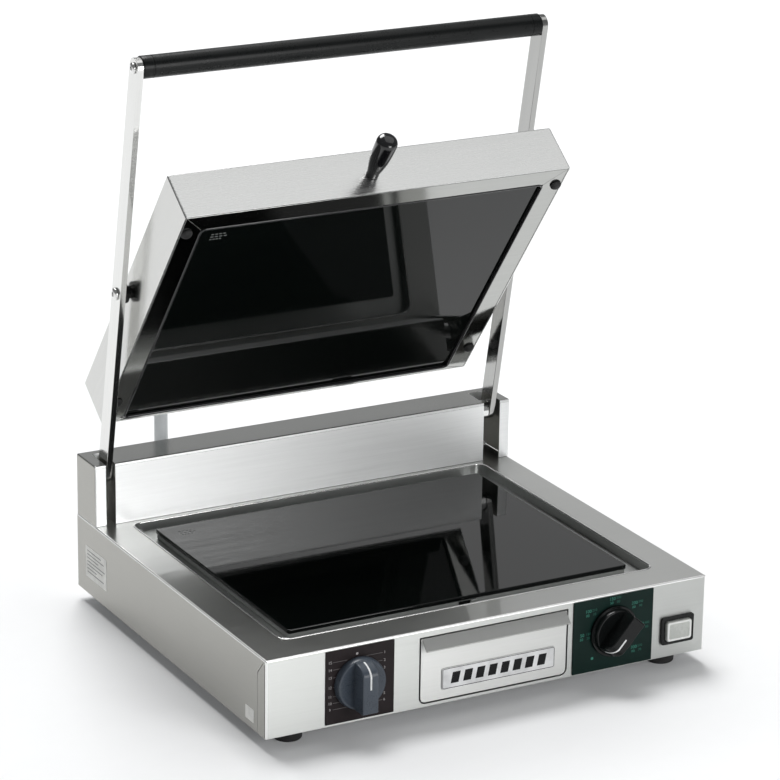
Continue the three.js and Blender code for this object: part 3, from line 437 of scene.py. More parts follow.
def refined(node, bevel, segments=2, look=None, pick=None, split=False):
    """The CAD node's own shape, with merged faces and rounded edges.

    pick chooses a look for each face; split cuts concave faces into convex ones.
    """
    body = NODE_BODY[node]
    place = BODY_PLACE.get(body, UPRIGHT)
    bm = bmesh.new()
    bm.from_mesh(frame["nodes"][node].data)
    bmesh.ops.remove_doubles(bm, verts=bm.verts, dist=2e-6)
    bmesh.ops.transform(bm, matrix=place.inverted(), verts=bm.verts)
    bmesh.ops.dissolve_limit(
        bm, angle_limit=math.radians(0.4), use_dissolve_boundaries=False, verts=bm.verts, edges=bm.edges
    )
    if split:
        bmesh.ops.connect_verts_concave(bm, faces=bm.faces)
    bm.normal_update()
    for face in bm.faces:
        face.material_index = pick(face.normal, face.calc_center_median()) if pick else 0
    looks = look or SLOT_LOOK[NODE_SLOT[node]]
    make(node + "_look", bm, place, body, looks, (node,), bevel, segments)


def lathe(profile, segments=64):
    """A turned shape about +Z from (radius, height) points in mm."""
    bm = bmesh.new()
    rings = []
    for radius, height in profile:
        count = 1 if radius < 1e-6 else segments
        rings.append([
            bm.verts.new((
                radius * MM * math.cos(2 * math.pi * i / segments),
                radius * MM * math.sin(2 * math.pi * i / segments),
                height * MM,
            ))
            for i in range(count)
        ])
    for a, b in zip(rings, rings[1:]):
        for i in range(segments):
            j = (i + 1) % segments
            corners = [a[i % len(a)], a[j % len(a)], b[j % len(b)], b[i % len(b)]]
            unique = list(dict.fromkeys(corners))
            if len(unique) > 2:
                bm.faces.new(unique)
    if len(rings[0]) > 1 and profile[0] == profile[-1]:
        bmesh.ops.remove_doubles(bm, verts=bm.verts, dist=1e-7)
    bmesh.ops.recalc_face_normals(bm, faces=bm.faces)
    return bm


def outline_box(x0, x1, y0, y1, radius=0.0, steps=6):
    """Rounded rectangle as (x, y) points in mm."""
    if radius <= 0:
        return [(x0, y0), (x1, y0), (x1, y1), (x0, y1)]
    points = []
    centres = [
        (x1 - radius, y0 + radius, -90), (x1 - radius, y1 - radius, 0),
        (x0 + radius, y1 - radius, 90), (x0 + radius, y0 + radius, 180),
    ]
    for cx, cy, start in centres:
        for i in range(steps + 1):
            angle = math.radians(start + 90 * i / steps)
            points.append((cx + radius * math.cos(angle), cy + radius * math.sin(angle)))
    return points


def prism(outline, low, high, bm=None):
    """Outline in local x, y standing from low to high along local z, in mm."""
    bm = bm or bmesh.new()
    bottom = [bm.verts.new((x * MM, y * MM, low * MM)) for x, y in outline]
    top = [bm.verts.new((x * MM, y * MM, high * MM)) for x, y in outline]
    bm.faces.new(top)
    bm.faces.new(bottom[::-1])
    count = len(outline)
    for i in range(count):
        j = (i + 1) % count
        bm.faces.new((bottom[i], bottom[j], top[j], top[i]))
    bmesh.ops.recalc_face_normals(bm, faces=bm.faces)
    return bm


def frame_prism(outer, inner, low, high):
    """Closed border between two outlines with the same number of points."""
    bm = bmesh.new()
    loops = [
        [bm.verts.new((x * MM, y * MM, z * MM)) for x, y in outline]
        for outline, z in ((outer, low), (outer, high), (inner, high), (inner, low))
    ]
    count = len(outer)
    for a, b in zip(loops, loops[1:] + loops[:1]):
        for i in range(count):
            j = (i + 1) % count
            bm.faces.new((a[i], a[j], b[j], b[i]))
    bmesh.ops.recalc_face_normals(bm, faces=bm.faces)
    return bm


def stroke(bm, a, b, width, low, high):
    """Thin printed line from a to b."""
    start, end = Vector(a), Vector(b)
    side = (end - start).normalized().orthogonal() * width / 2
    corners = [start + side, start - side, end - side, end + side]
    prism([(p.x, p.y) for p in corners], low, high, bm)


def disc_outline(x, y, radius, steps=16):
    return [
        (x + radius * math.cos(2 * math.pi * i / steps), y + radius * math.sin(2 * math.pi * i / steps))
        for i in range(steps)
    ]


def numeral(bm, text, x, y, size, low, thickness):
    """Figures in the built-in font as thin raised print."""
    curve = bpy.data.curves.new("numeral", "FONT")
    curve.body = text
    curve.size = size * MM
    curve.align_x, curve.align_y = "CENTER", "CENTER"
    curve.extrude = thickness * MM / 2
    curve.resolution_u = 3
    holder = bpy.data.objects.new("numeral", curve)
    bpy.context.scene.collection.objects.link(holder)
    bpy.context.view_layer.update()
    solid = holder.evaluated_get(bpy.context.evaluated_depsgraph_get())
    mesh = bpy.data.meshes.new_from_object(solid)
    mesh.transform(Matrix.Translation((x * MM, y * MM, (low + thickness / 2) * MM)))
    bm.from_mesh(mesh)
    bpy.data.objects.remove(holder)
    bpy.data.curves.remove(curve)
    bpy.data.meshes.remove(mesh)


def smooth_path(points, spacing):
    """Catmull-Rom curve through the points, resampled to even steps."""
    dense = []
    ends = [points[0] * 2 - points[1], *points, points[-1] * 2 - points[-2]]
    for a, b, c, d in zip(ends, ends[1:], ends[2:], ends[3:]):
        for i in range(24):
            t = i / 24
            square = (2 * b) + (c - a) * t + (2 * a - 5 * b + 4 * c - d) * t**2
            dense.append(0.5 * (square + (3 * b - a - 3 * c + d) * t**3))
    dense.append(points[-1].copy())
    total = sum((b - a).length for a, b in zip(dense, dense[1:]))
    steps = max(2, round(total / spacing))
    path, run, target = [dense[0]], 0.0, total / steps
    for a, b in zip(dense, dense[1:]):
        length = (b - a).length
        while run + length >= target - 1e-9 and len(path) < steps:
            path.append(a.lerp(b, (target - run) / length))
            target += total / steps
        run += length
    path.append(dense[-1])
    return path


def tube(path, radius, sides=32):
    """Round tube along a path."""
    bm = bmesh.new()
    normal = (path[1] - path[0]).orthogonal().normalized()
    rings = []
    for i, point in enumerate(path):
        before, after = path[max(i - 1, 0)], path[min(i + 1, len(path) - 1)]
        along = (after - before).normalized()
        normal = (normal - along * normal.dot(along)).normalized()
        other = along.cross(normal)
        rings.append([
            bm.verts.new(point + (normal * math.cos(a) + other * math.sin(a)) * radius)
            for a in (2 * math.pi * k / sides for k in range(sides))
        ])
    for a, b in zip(rings, rings[1:]):
        for k in range(sides):
            m = (k + 1) % sides
            bm.faces.new((a[k], a[m], b[m], b[k]))
    bm.faces.new(rings[0][::-1])
    bm.faces.new(rings[-1])
    bmesh.ops.recalc_face_normals(bm, faces=bm.faces)
    return bm


# ---------- base ----------
SHELL_LOOKS = ["front_steel", "side_steel", "top_steel", "recess_steel", "fold_painted_highlight_steel"]
IN_FRONT, ON_SIDE, ON_TOP, IN_RECESS, ON_FOLD = range(5)


def shell_look(normal, centre):
    """Picks from SHELL_LOOKS by where a face is and which way it looks."""
    below_top = centre.z < SHELL_HIGH.z - 0.0008
    bend = sum(abs(c) > 0.15 for c in normal) > 1
    at_edge = abs(centre.x) > SHELL_HIGH.x - 0.003 or centre.y < FRONT + 0.003
    if bend and at_edge:
        return ON_FOLD
    if abs(normal.x) > 0.7:
        return IN_RECESS if abs(centre.x) < 0.2 else ON_SIDE
    if normal.z > 0.6:
        return IN_RECESS if below_top else ON_TOP
    if abs(normal.y) > 0.6 and centre.y > FRONT + 0.01:
        return IN_RECESS
    return IN_FRONT


def housing_look(normal, centre):
    """The front is 0, the top 1 and the sides 2."""
    if abs(normal.x) > 0.7:
        return 2
    return 1 if normal.z > 0.6 else 0


def drawer_look(normal, centre):
    """The lip, which slopes, is 1; the square rest of the drawer front is 0."""
    return 1 if normal.y < -0.3 and abs(normal.z) > 0.08 else 0


def lid_look(normal, centre):
    """The sides are 1, the rest is 0."""
    return 1 if abs(normal.x) > 0.7 else 0


refined("base_shell", 0.35, 2, SHELL_LOOKS, shell_look)
refined("housing_cover", 0.3, 2, ["housing_front_painted_light_steel", "housing_steel", "side_steel"], housing_look)
refined("rear_panel", 0.3, 2, "side_steel")
refined("bottom_plate", 0.3, split=True)
refined("lower_glass", 0.8, 3)
refined("lower_glass_seal", 0.5, 2, "seal_grey")
refined("timer_plate", 0.15)
refined("thermostat_plate", 0.15)
refined("switch_housing", 0.8, 3)
refined("drawer_front", 0.3, 2, ["drawer_steel", "lip_painted_shade_steel"], drawer_look)
refined("drawer_tray", 0.3, 2)
refined("drawer_badge", 0.2, 2)
refined("switch_button", 0.9, 3)
refined("arm_left", 0.5, 2, "arm_steel")
refined("arm_right", 0.5, 2, "right_arm_steel")
refined("lid_cover", 0.35, 2, ["lid_steel", "lid_side_steel"], lid_look, split=True)
refined("upper_glass", 0.6, 2)
refined("upper_glass_seal", 0.1, 1)
refined("hinge_shaft", 0.25)


def local_box(node, place):
    """Corners of a CAD node in a tilted local frame, in mm."""
    back = place.inverted()
    points = [back @ v.co for v in frame["nodes"][node].data.vertices]
    low = Vector(min(p[i] for p in points) / MM for i in range(3))
    high = Vector(max(p[i] for p in points) / MM for i in range(3))
    return low, high


def inset(points, distance):
    """Moves every side of a convex outline inwards."""
    middle = sum((Vector(p) for p in points), Vector((0, 0))) / len(points)
    lines = []
    for a, b in zip(points, points[1:] + points[:1]):
        a, b = Vector(a), Vector(b)
        side = (b - a).normalized().orthogonal()
        if side.dot(middle - a) < 0:
            side = -side
        lines.append((a + side * distance, (b - a).normalized()))
    corners = []
    for (p, d), (q, e) in zip(lines[-1:] + lines[:-1], lines):
        t = ((q - p).x * e.y - (q - p).y * e.x) / (d.x * e.y - d.y * e.x)
        corners.append(tuple(p + d * t))
    return corners


def rolled_edge(x0, x1, y0, y1, corner, height, radius, sides=12):
    """Round bead lying along a rounded rectangle."""
    bm = bmesh.new()
    loops = []
    for k in range(sides):
        angle = 2 * math.pi * k / sides
        out = radius * math.cos(angle)
        z = (height + radius * math.sin(angle)) * MM
        outline = outline_box(x0 - out, x1 + out, y0 - out, y1 + out, corner + out, 8)
        loops.append([bm.verts.new((x * MM, y * MM, z)) for x, y in outline])
    for a, b in zip(loops, loops[1:] + loops[:1]):
        for i in range(len(a)):
            j = (i + 1) % len(a)
            bm.faces.new((a[i], a[j], b[j], b[i]))
    bmesh.ops.recalc_face_normals(bm, faces=bm.faces)
    return bm


def upper_frame():
    """Frame round the upper glass: four strips that meet at mitred corners, and a dark bead inside them."""
    low, high = local_box("lid_frame", LID)
    glass_low, glass_high = local_box("upper_glass", LID)
    x1, y0, y1 = high.x, low.y, high.y
    u1, v0, v1 = glass_high.x - 6, glass_low.y + 6, glass_high.y - 2.5
    outer = [(-x1, y0), (x1, y0), (x1, y1), (-x1, y1)]
    inner = [(-u1, v0), (u1, v0), (u1, v1), (-u1, v1)]
    bm = bmesh.new()
    for i in range(4):
        j = (i + 1) % 4
        strip = inset([outer[i], outer[j], inner[j], inner[i]], 0.12)
        prism(strip, low.z, low.z + 1.2, bm)
    make("lid_frame_strips", bm, LID, "lid", "frame_steel", ("lid_frame",), 0.2, 2)
    bead = rolled_edge(-u1, u1, v0, v1, 5, low.z + 0.5, 1.3)
    make("upper_glass_bead", bead, LID, "lid", "knob_black")


upper_frame()

# Rolled bright edge round the recess, whose outline is given in mm from the front.
RECESS_HALF_W, RECESS_FRONT, RECESS_REAR, RECESS_CORNER = 183, 34.5, 336.5, 9
BEAD_SUNK, BEAD_R = 0.35, 0.95
recess_edge = rolled_edge(
    -RECESS_HALF_W, RECESS_HALF_W, FRONT / MM + RECESS_FRONT, FRONT / MM + RECESS_REAR, RECESS_CORNER,
    SHELL_HIGH.z / MM - BEAD_SUNK, BEAD_R,
)
make("recess_bead", recess_edge, UPRIGHT, NODE_BODY["base_shell"], "bolt_steel")

# ---------- turned pieces ----------
ALONG_X = Matrix.Rotation(math.radians(90), 4, "Y")
ALONG_MINUS_X = Matrix.Rotation(math.radians(-90), 4, "Y")
ALONG_MINUS_Y = Matrix.Rotation(math.radians(90), 4, "X")
ALONG_PLUS_Y = Matrix.Rotation(math.radians(-90), 4, "X")


def turned_piece(node, profile, place, look=None, bevel=0.3, segments=64):
    make(
        node + "_look", lathe(profile, segments), place, NODE_BODY[node],
        look or SLOT_LOOK[NODE_SLOT[node]], (node,), bevel, 2,
    )


FOOT = [(0, 0), (11.4, 0), (12.4, 0.9), (12.8, 7.6), (13.5, 8.2), (13.5, 11.6), (13.1, 11.9), (0, 11.9)]
for node in ("foot_front_left", "foot_front_right", "foot_rear_left", "foot_rear_right"):
    low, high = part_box(node)
    at = Vector(((low.x + high.x) / 2, (low.y + high.y) / 2, low.z))
    turned_piece(node, FOOT, Matrix.Translation(at))

BUMPER_H = 3.4
for node in ("bumper_front_left", "bumper_front_right", "bumper_rear_left", "bumper_rear_right"):
    low, high = local_box(node, LID)
    at = Vector(((low.x + high.x) / 2, (low.y + high.y) / 2, high.z)) * MM
    profile = [(0, -BUMPER_H), (2.2, -BUMPER_H), (3.5, -2.9), (4.5, -2.0), (5.1, -1.1), (5.2, 0), (0, 0)]
    turned_piece(node, profile, LID @ Matrix.Translation(at), bevel=0.15)

# Lid knob: tapered grip with a domed end, standing on a small washer.
low, high = local_box("lid_knob", LID)
knob_base = LID @ Matrix.Translation(Vector(((low.x + high.x) / 2, high.y - 8, (low.z + high.z) / 2)) * MM)
grip = [
    (0, -8), (3, -8), (3, 0.3), (5.6, 0.3), (5.8, 2.2), (5.6, 3.0), (6.0, 6), (6.8, 10), (7.8, 15), (8.7, 21),
    (9.2, 27), (9.5, 33), (9.6, 39), (9.6, 43), (9.3, 45), (8.5, 46.6), (7.0, 47.8), (4.8, 48.5),
    (2.4, 48.7), (0, 48.75),
]
turned_piece("lid_knob", grip, knob_base @ ALONG_MINUS_Y, "knob_black", 0.1, 80)

# Handle tube with a collar line near each end.
low, high = local_box("handle_tube", ARMS)
half = high.x
handle_at = ARMS @ Matrix.Translation(Vector((0, (low.y + high.y) / 2, (low.z + high.z) / 2)) * MM)
handle = [
    (3.3, -half), (9.5, -half), (10, -half + 0.5), (10, -half + 9), (9.6, -half + 9.3), (9.6, -half + 10.1),
    (10, -half + 10.4), (10, half - 10.4), (9.6, half - 10.1), (9.6, half - 9.3), (10, half - 9),
    (10, half - 0.5), (9.5, half), (3.3, half),
]
turned_piece("handle_tube", handle + handle[:1], handle_at @ ALONG_X, "handle_black", 0, 72)


def dome_head(radius, height, shank, length):
    """Bolt with a domed head and a socket in it."""
    angles = [math.radians(15 * k) for k in range(6)]
    rise = [(radius * math.cos(a), height * (0.35 + 0.65 * math.sin(a))) for a in angles]
    dome = [p for p in rise if p[0] > radius * 0.4]
    socket = [(radius * 0.36, height * 0.97), (radius * 0.34, height * 0.45), (0, height * 0.45)]
    return [(0, -length), (shank, -length), (shank, 0), (radius, 0), *dome, *socket]


for node, place in (
    ("handle_bolt_left", ARMS), ("handle_bolt_right", ARMS),
    ("pivot_bolt_left", LID), ("pivot_bolt_right", LID),
):
    low, high = local_box(node, place)
    left = node.endswith("left")
    handle_bolt = node.startswith("handle")
    head, shank, height = (5, 3, 2.4) if handle_bolt else (5.6, 4, 3)
    face = low.x + height if left else high.x - height
    at = Vector((face, (low.y + high.y) / 2, (low.z + high.z) / 2)) * MM
    length = high.x - low.x - height
    axis = ALONG_MINUS_X if left else ALONG_X
    bolt = dome_head(head, height, shank, length)
    turned_piece(node, bolt, place @ Matrix.Translation(at) @ axis, bevel=0.1)

for node in ("pivot_disc_left", "pivot_disc_right"):
    low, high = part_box(node)
    left = node.endswith("left")
    at = Vector((0, pivot.y, pivot.z))
    inner, outer = (-high.x / MM, -low.x / MM) if left else (low.x / MM, high.x / MM)
    profile = [
        (4.3, inner), (5.6, inner), (5.6, outer - 3.4), (9.2, outer - 3.4), (9.2, outer), (4.3, outer),
        (4.3, inner),
    ]
    turned_piece(node, profile, Matrix.Translation(at) @ (ALONG_MINUS_X if left else ALONG_X), bevel=0.3)

low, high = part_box("hinge_collar")
profile = [(6.3, low.x / MM), (9, low.x / MM), (9, high.x / MM), (6.3, high.x / MM), (6.3, low.x / MM)]
turned_piece("hinge_collar", profile, Matrix.Translation((0, hinge.y, hinge.z)) @ ALONG_X, bevel=0.5)


def gland_profile(bore):
    """Cable gland with two grooves round its cap, open at the middle."""
    return [
        (bore, -8), (7.9, -8), (7.9, 0.3), (11.5, 0.3), (11.5, 6), (10.4, 6.8), (10, 7.2), (10, 8),
        (9.6, 8.3), (9.6, 8.8), (10, 9.1), (10, 10), (9.6, 10.3), (9.6, 10.8), (10, 11.1), (10, 12),
        (9.2, 13.4), (bore + 1.8, 15), (bore, 15), (bore, -8),
    ]


for node, bore in (("mains_gland", 4), ("conduit_gland_base", 6.7)):
    low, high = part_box(node)
    at = Vector(((low.x + high.x) / 2, BACK, (low.z + high.z) / 2))
    turned_piece(node, gland_profile(bore), Matrix.Translation(at) @ ALONG_PLUS_Y, bevel=0.1)
low, high = local_box("conduit_gland_lid", LID)
at = Vector(((low.x + high.x) / 2, (low.y + high.y) / 2, low.z + 8)) * MM
turned_piece("conduit_gland_lid", gland_profile(6.7), LID @ Matrix.Translation(at), bevel=0.1)


# ---------- knobs ----------
def pointer_knob(node, skirt_r, skirt_t, disc_r, disc_t, bar_w, proud, tail, turn):
    """Dished disc with a grip bar across it; the bar's pointer end slopes up from the disc."""
    centre = JOINT_AT["timer_turn" if node.startswith("timer") else "thermostat_turn"]
    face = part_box(node)[1].y
    place = facing_front(centre.x, face, centre.z) @ Matrix.Rotation(-turn, 4, "Z")
    body, slot, look = NODE_BODY[node], NODE_SLOT[node], SLOT_LOOK[NODE_SLOT[node]]
    profile = [
        (0, 0), (skirt_r - 0.3, 0), (skirt_r, 0.3), (skirt_r - 0.2, skirt_t), (disc_r + 0.7, skirt_t),
        (disc_r + 0.1, disc_t - 1.2), (disc_r - 0.5, disc_t - 0.3), (disc_r - 1.4, disc_t),
        (disc_r - 2.4, disc_t - 0.2), (disc_r * 0.6, disc_t - 1.1), (0, disc_t - 1.4),
    ]
    make(node + "_disc", lathe(profile, 96), place, body, look, (node,), 0.15, 2)
    low_edge = disc_t - 2.2
    quarter = [math.pi / 2 * i / 14 for i in range(15)]
    slope = [
        (disc_r * 0.5 + disc_r * 0.45 * math.cos(a), low_edge + (proud - low_edge) * math.sin(a))
        for a in quarter
    ]
    outline = [*slope, (-tail + 1.2, proud), (-tail, proud - 1.6), (-tail, low_edge)]
    bm = bmesh.new()
    rings = [
        [bm.verts.new((x * MM, along * MM, out * MM)) for along, out in outline]
        for x in (-bar_w / 2, bar_w / 2)
    ]
    bm.faces.new(rings[0])
    bm.faces.new(rings[1][::-1])
    for i in range(len(outline)):
        j = (i + 1) % len(outline)
        bm.faces.new((rings[0][i], rings[0][j], rings[1][j], rings[1][i]))
    bmesh.ops.recalc_face_normals(bm, faces=bm.faces)
    make(node + "_grip", bm, place, body, look, (node,), 0.9, 3)
    line = bmesh.new()
    path = [(along, out + 0.05) for along, out in slope[2:]] + [(0.6, proud + 0.05)]
    sides = (-0.75, 0.75)
    lower = [[line.verts.new((x * MM, a * MM, (o - 0.3) * MM)) for x in sides] for a, o in path]
    upper = [[line.verts.new((x * MM, (a + 0.12) * MM, (o + 0.1) * MM)) for x in sides] for a, o in path]
    for k in range(len(path) - 1):
        line.faces.new((upper[k][0], upper[k][1], upper[k + 1][1], upper[k + 1][0]))
        line.faces.new((lower[k][0], lower[k + 1][0], lower[k + 1][1], lower[k][1]))
        for s in (0, 1):
            line.faces.new((lower[k][s], upper[k][s], upper[k + 1][s], lower[k + 1][s]))
    line.faces.new((lower[0][0], lower[0][1], upper[0][1], upper[0][0]))
    line.faces.new((lower[-1][0], upper[-1][0], upper[-1][1], lower[-1][1]))
    bmesh.ops.recalc_face_normals(line, faces=line.faces)
    make(node + "_pointer", line, place, body, "pointer_white")


pointer_knob("timer_knob", 23, 2, 22.4, 7.2, 14.5, 22, 21.6, 0)
pointer_knob("thermostat_knob", 23.2, 2.6, 20.4, 7.2, 14.5, 22, 20, math.radians(222))


# ---------- print on the dial plates ----------
def dial_place(node, joint):
    return facing_front(JOINT_AT[joint].x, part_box(node)[0].y, JOINT_AT[joint].z)


INK = (-0.1, 0.1)  # print stands this far below and above its face, in mm
INK_DEPTH = INK[1] - INK[0]
timer_face = dial_place("timer_plate", "timer_turn")
figures = bmesh.new()
lines = bmesh.new()
left_rows = (
    ("15", 21.5, -10.8), ("14", 14.8, -14.9), ("13", 7.8, -21.0), ("12", -0.9, -21.3), ("11", -9.2, -18.4),
    ("10", -15.2, -13.7), ("9", -21.0, -8.0),
)
right_rows = (("1", 22.0, 7.0), ("2", 15.0, 16.5), ("3", 8.1, 21.5), ("5", -15.0, 21.0), ("6", -20.8, 15.0))
for figure, z, end in left_rows:
    numeral(figures, figure, -26.7, z, 3.5, INK[0], INK_DEPTH)
    stroke(lines, (-24.0, z), (end, z), 0.35, *INK)
for figure, z, end in right_rows:
    numeral(figures, figure, 24.6, z, 3.5, INK[0], INK_DEPTH)
    stroke(lines, (22.6, z), (end, z), 0.35, *INK)
prism(disc_outline(-1.5, 25.6, 1.15), *INK, figures)
make("timer_figures", figures, timer_face, "base", "timer_print")
make("timer_lines", lines, timer_face, "base", "timer_line")

thermostat_face = dial_place("thermostat_plate", "thermostat_turn")
bright, dim = bmesh.new(), bmesh.new()
scale = (
    ("50", "120", -28.7, -0.8), ("100", "210", -23.0, 20.5), ("150", "300", 1.0, 28.0),
    ("200", "390", 23.8, 20.3), ("250", "480", 31.0, -0.7), ("300", "570", 24.5, -21.1),
)
for celsius, fahrenheit, x, z in scale:
    numeral(bright, celsius, x - 2.6, z + 1.4, 4.2, INK[0], INK_DEPTH)
    numeral(bright, celsius[-2:], x - 3.2, z - 2.4, 3.4, INK[0], INK_DEPTH)
    numeral(dim, fahrenheit, x + 3.6, z + 1.8, 3.3, INK[0], INK_DEPTH)
    numeral(dim, fahrenheit[-2:], x + 3.6, z - 2.0, 3.3, INK[0], INK_DEPTH)
prism(disc_outline(-20.5, -22.5, 1.3), *INK, bright)
make("thermostat_celsius", bright, thermostat_face, "base", "thermostat_print")
make("thermostat_fahrenheit", dim, thermostat_face, "base", "thermostat_print_dim")

# ---------- switch, badge, drain and labels ----------
low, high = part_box("switch_button")
lens_place = facing_front((low.x + high.x) / 2, low.y, (low.z + high.z) / 2)
w, h = (high.x - low.x) / MM / 2, (high.z - low.z) / MM / 2
make(
    "switch_lens_rim",
    frame_prism(
        outline_box(-w + 0.5, w - 0.5, -h + 0.5, h - 0.5, 2.2, 8),
        outline_box(-w + 2.3, w - 2.3, -h + 2.3, h - 2.3, 1.4, 8), -0.6, 0.35,
    ),
    lens_place, "switch_button", "lens_rim", (), 0.3, 3,
)

low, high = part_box("drawer_badge")
badge_place = facing_front((low.x + high.x) / 2, low.y, (low.z + high.z) / 2)
w, h = (high.x - low.x) / MM / 2, (high.z - low.z) / MM / 2
make(
    "badge_border",
    frame_prism(
        outline_box(-w + 0.5, w - 0.5, -h + 0.5, h - 0.5, 1.6, 6),
        outline_box(-w + 0.95, w - 0.95, -h + 0.95, h - 0.95, 1.2, 6), *INK,
    ),
    badge_place, "drawer", "badge_print",
)
blocks = bmesh.new()
for k in range(8):
    x = -w + 8.5 + k * 12.1
    prism([(x, -5), (x + 7.6, -5), (x + 9.6, 5), (x + 2.0, 5)], *INK, blocks)
make("badge_pattern", blocks, badge_place, "drawer", "badge_print")

glass_low, glass_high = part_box("lower_glass")
# A dark patch stands for the inside of the drain hole: painted shade.
notch_place = facing_front(0, glass_low.y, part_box("lower_glass_seal")[0].z)
notch = prism(outline_box(-2.5, 8.5, 0.6, 3.6, 0.6), -0.6, 0.25)
make("drain_notch", notch, notch_place, "base", "dark_gap")
tab = prism(outline_box(8.8, 15, 2.4, 3.8, 0.5), -0.6, 1.2)
make("drain_tab", tab, notch_place, "base", "bolt_steel", (), 0.2)


def facing_left(x, y, z):
    """Local x runs to the front, y up and z out from the left side."""
    return Matrix(((0, 0, -1, x), (-1, 0, 0, y), (0, 1, 0, z), (0, 0, 0, 1)))


LABEL = (0.02, 0.16)  # labels stand from just off the steel to this far out, in mm
LEFT_SIDE = facing_left(SHELL_LOW.x, FRONT + 0.343, SHELL_LOW.z + 0.031)
label = prism(outline_box(-23, 23, -15, 15, 1.2), *LABEL)
make("rating_label", label, LEFT_SIDE, "base", "label_silver")
rows = bmesh.new()
for k, width in enumerate((30, 36, 24, 38, 33, 20, 36)):
    stroke(rows, (-19, 11 - k * 3.4), (-19 + width, 11 - k * 3.4), 0.9, 0.1, 0.22)
make("rating_label_rows", rows, LEFT_SIDE, "base", "label_print")

# Small blank approval sticker low on the left side, and beside it a dark line painted for the dark reflection
# at the corner fold, in mm forward and up from the top front corner.
CORNER = facing_left(SHELL_LOW.x, FRONT, SHELL_HIGH.z)
sticker = prism(outline_box(-38, -22, -64, -52, 1.0), *LABEL)
make("approval_sticker", sticker, CORNER, "base", "label_silver")
corner_fold_painted_reflection = prism(outline_box(-2.5, -1.9, -69, -4), 0.01, 0.1)
make("corner_fold_painted_reflection", corner_fold_painted_reflection, CORNER, "base", "dark_gap")


def dashes(left, top, pitch, low, high):
    """Three rows of short dashes, as small print on glass."""
    bm = bmesh.new()
    for k, width in enumerate((15, 17, 12)):
        y = top + k * pitch
        for dash in range(4):
            x = left + dash * width / 4
            stroke(bm, (x, y), (x + width / 6, y), 1.3, low, high)
    return bm


on_glass = Matrix.Translation((0, FRONT, glass_high.z))
make("lower_glass_print", dashes(-152, 303, -4, 0, 0.06), on_glass, "base", "glass_print")
under_glass = LID @ Matrix.Translation((0, 0, local_box("upper_glass", LID)[0].z * MM))
make("upper_glass_print", dashes(-155, -116, 3.4, -0.06, 0), under_glass, "lid", "glass_print")


# ---------- screws ----------
def pan_screws(name, spots, place, body, radius=3.4):
    """Cross-recess pan heads standing on a sheet, in the local plane of place."""
    bm = bmesh.new()
    profile = [(0, 0), (radius, 0), (radius, 0.5), (radius * 0.86, 1.3), (radius * 0.5, 1.75), (0, 1.85)]
    for x, y in spots:
        head = lathe(profile, 32)
        bmesh.ops.translate(head, verts=head.verts, vec=(x * MM, y * MM, 0))
        holder = bpy.data.meshes.new("screw")
        head.to_mesh(holder)
        head.free()
        bm.from_mesh(holder)
        bpy.data.meshes.remove(holder)
    make(name, bm, place, body, "bolt_steel", (), 0.1)
    # The cross recess is not cut: dark strokes laid on the head stand for its shade, painted shade.
    slots = bmesh.new()
    for x, y in spots:
        for dx, dy in ((0.6 * radius, 0), (0, 0.6 * radius)):
            stroke(slots, (x - dx, y - dy), (x + dx, y + dy), 0.7, 1.2, 1.86)
    make(name + "_recess", slots, place, body, "dark_gap")


BACK_FACE = Matrix(((-1, 0, 0, 0), (0, 0, 1, BACK), (0, 1, 0, 0), (0, 0, 0, 1)))
panel_low, panel_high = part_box("rear_panel")
INSET_X, INSET_Z = 9, 8
edge_x = panel_high.x / MM - INSET_X
low_z, high_z = panel_low.z / MM + INSET_Z, panel_high.z / MM - INSET_Z
corners = [(sx * edge_x, z) for sx in (-1, 1) for z in (low_z, high_z)]
pan_screws("rear_screws", [*corners, (0, low_z)], BACK_FACE, "base")
cover_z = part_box("housing_cover")[0].z / MM + 12
pan_screws("housing_screws", [(x, cover_z) for x in (-190, 0, 190)], BACK_FACE, "base")
UNDER = Matrix(((1, 0, 0, 0), (0, -1, 0, 0), (0, 0, -1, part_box("bottom_plate")[0].z), (0, 0, 0, 1)))
pan_screws("floor_screws", [(x, y) for x in (-203, 203) for y in (-150, 0, 150)], UNDER, "base", 3)


# ---------- conduit ----------
CONDUIT_RADIUS = 0.0064
CONDUIT_STEP = 0.002


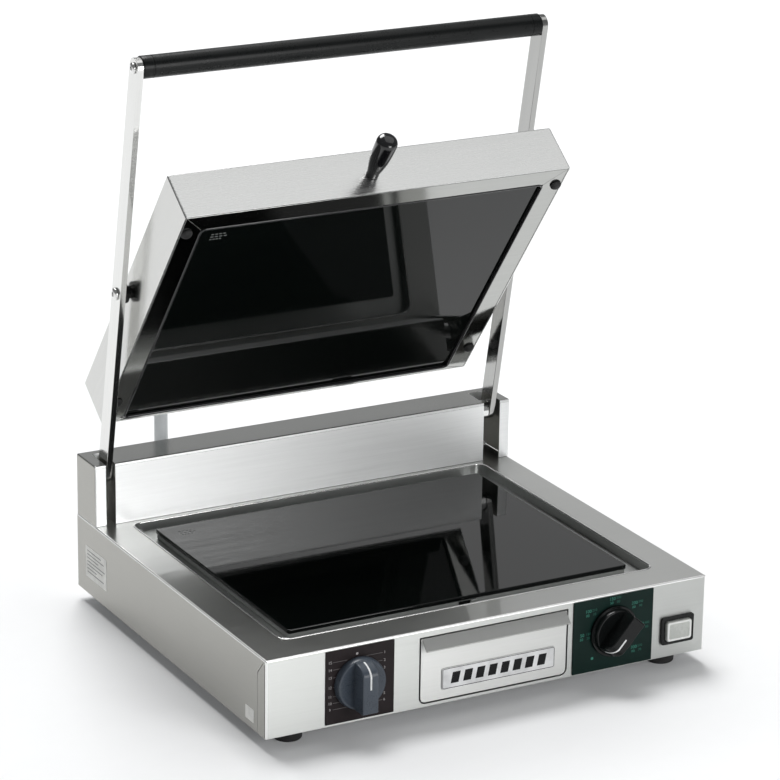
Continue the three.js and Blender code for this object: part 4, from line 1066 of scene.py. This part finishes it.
def conduit():
    """The lid's wiring conduit, in three lengths cut where the arms swing and the lid turns."""
    x = -0.109
    exit_low, exit_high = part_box("conduit_gland_base")
    start_z = (exit_low.z + exit_high.z) / 2
    gland_low, gland_high = local_box("conduit_gland_lid", LID)
    seat = Vector(((gland_low.x + gland_high.x) / 2, (gland_low.y + gland_high.y) / 2, gland_low.z + 8))

    def on_lid(height):
        return LID @ (Vector((seat.x, seat.y, seat.z + height)) * MM)

    def at(y, z):
        return Vector((x, FRONT + y * MM, z))

    leave = on_lid(30)
    back = (BACK - FRONT) / MM
    path = smooth_path(
        [
            at(back - 4, start_z), at(back + 8, start_z), at(back + 20, start_z),
            at(430 - 9.1, start_z + 0.0078), at(430, start_z + 0.026), at(431, start_z + 0.09),
            at(431, leave.z - 0.034), at(427, leave.z - 0.008), leave, on_lid(19), on_lid(7), on_lid(-6),
        ],
        CONDUIT_STEP,
    )
    swing_from, swing_to = start_z + 0.012, leave.z - 0.138
    carrier_at, lid_at = leave.z - 0.058, leave.z - 0.03
    turn_from = carrier_at + 0.004
    cuts = [0]
    for level in (swing_to, turn_from):
        cuts.append(next(i for i, p in enumerate(path) if p.z > level and i > cuts[-1]))
    cuts.append(len(path) - 1)
    spans = (
        ("conduit_lower", "base", "arms", swing_from, swing_to),
        ("conduit_middle", "arms", "lid_carrier", swing_to, carrier_at),
        ("conduit_upper", "lid_carrier", "lid", turn_from, lid_at),
    )
    for (name, a, b, start, end), first, last in zip(spans, cuts, cuts[1:]):
        bm = tube(path[first : last + 1], CONDUIT_RADIUS)
        mesh = bpy.data.meshes.new(name)
        bm.to_mesh(mesh)
        bm.free()
        mesh.materials.append(M["conduit_skin"])
        mesh.polygons.foreach_set("use_smooth", [True] * len(mesh.polygons))
        mesh.set_sharp_from_angle(angle=SHARP_ANGLE)
        obj = bpy.data.objects.new(name, mesh)
        bpy.context.scene.collection.objects.link(obj)
        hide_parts("conduit")
        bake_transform(obj)


conduit()

# ---------- looks of the CAD nodes that stay as they are ----------
for node, obj in frame["nodes"].items():
    if not obj.hide_render:
        obj.data.materials.clear()
        obj.data.materials.append(M[SLOT_LOOK[NODE_SLOT[node]]])
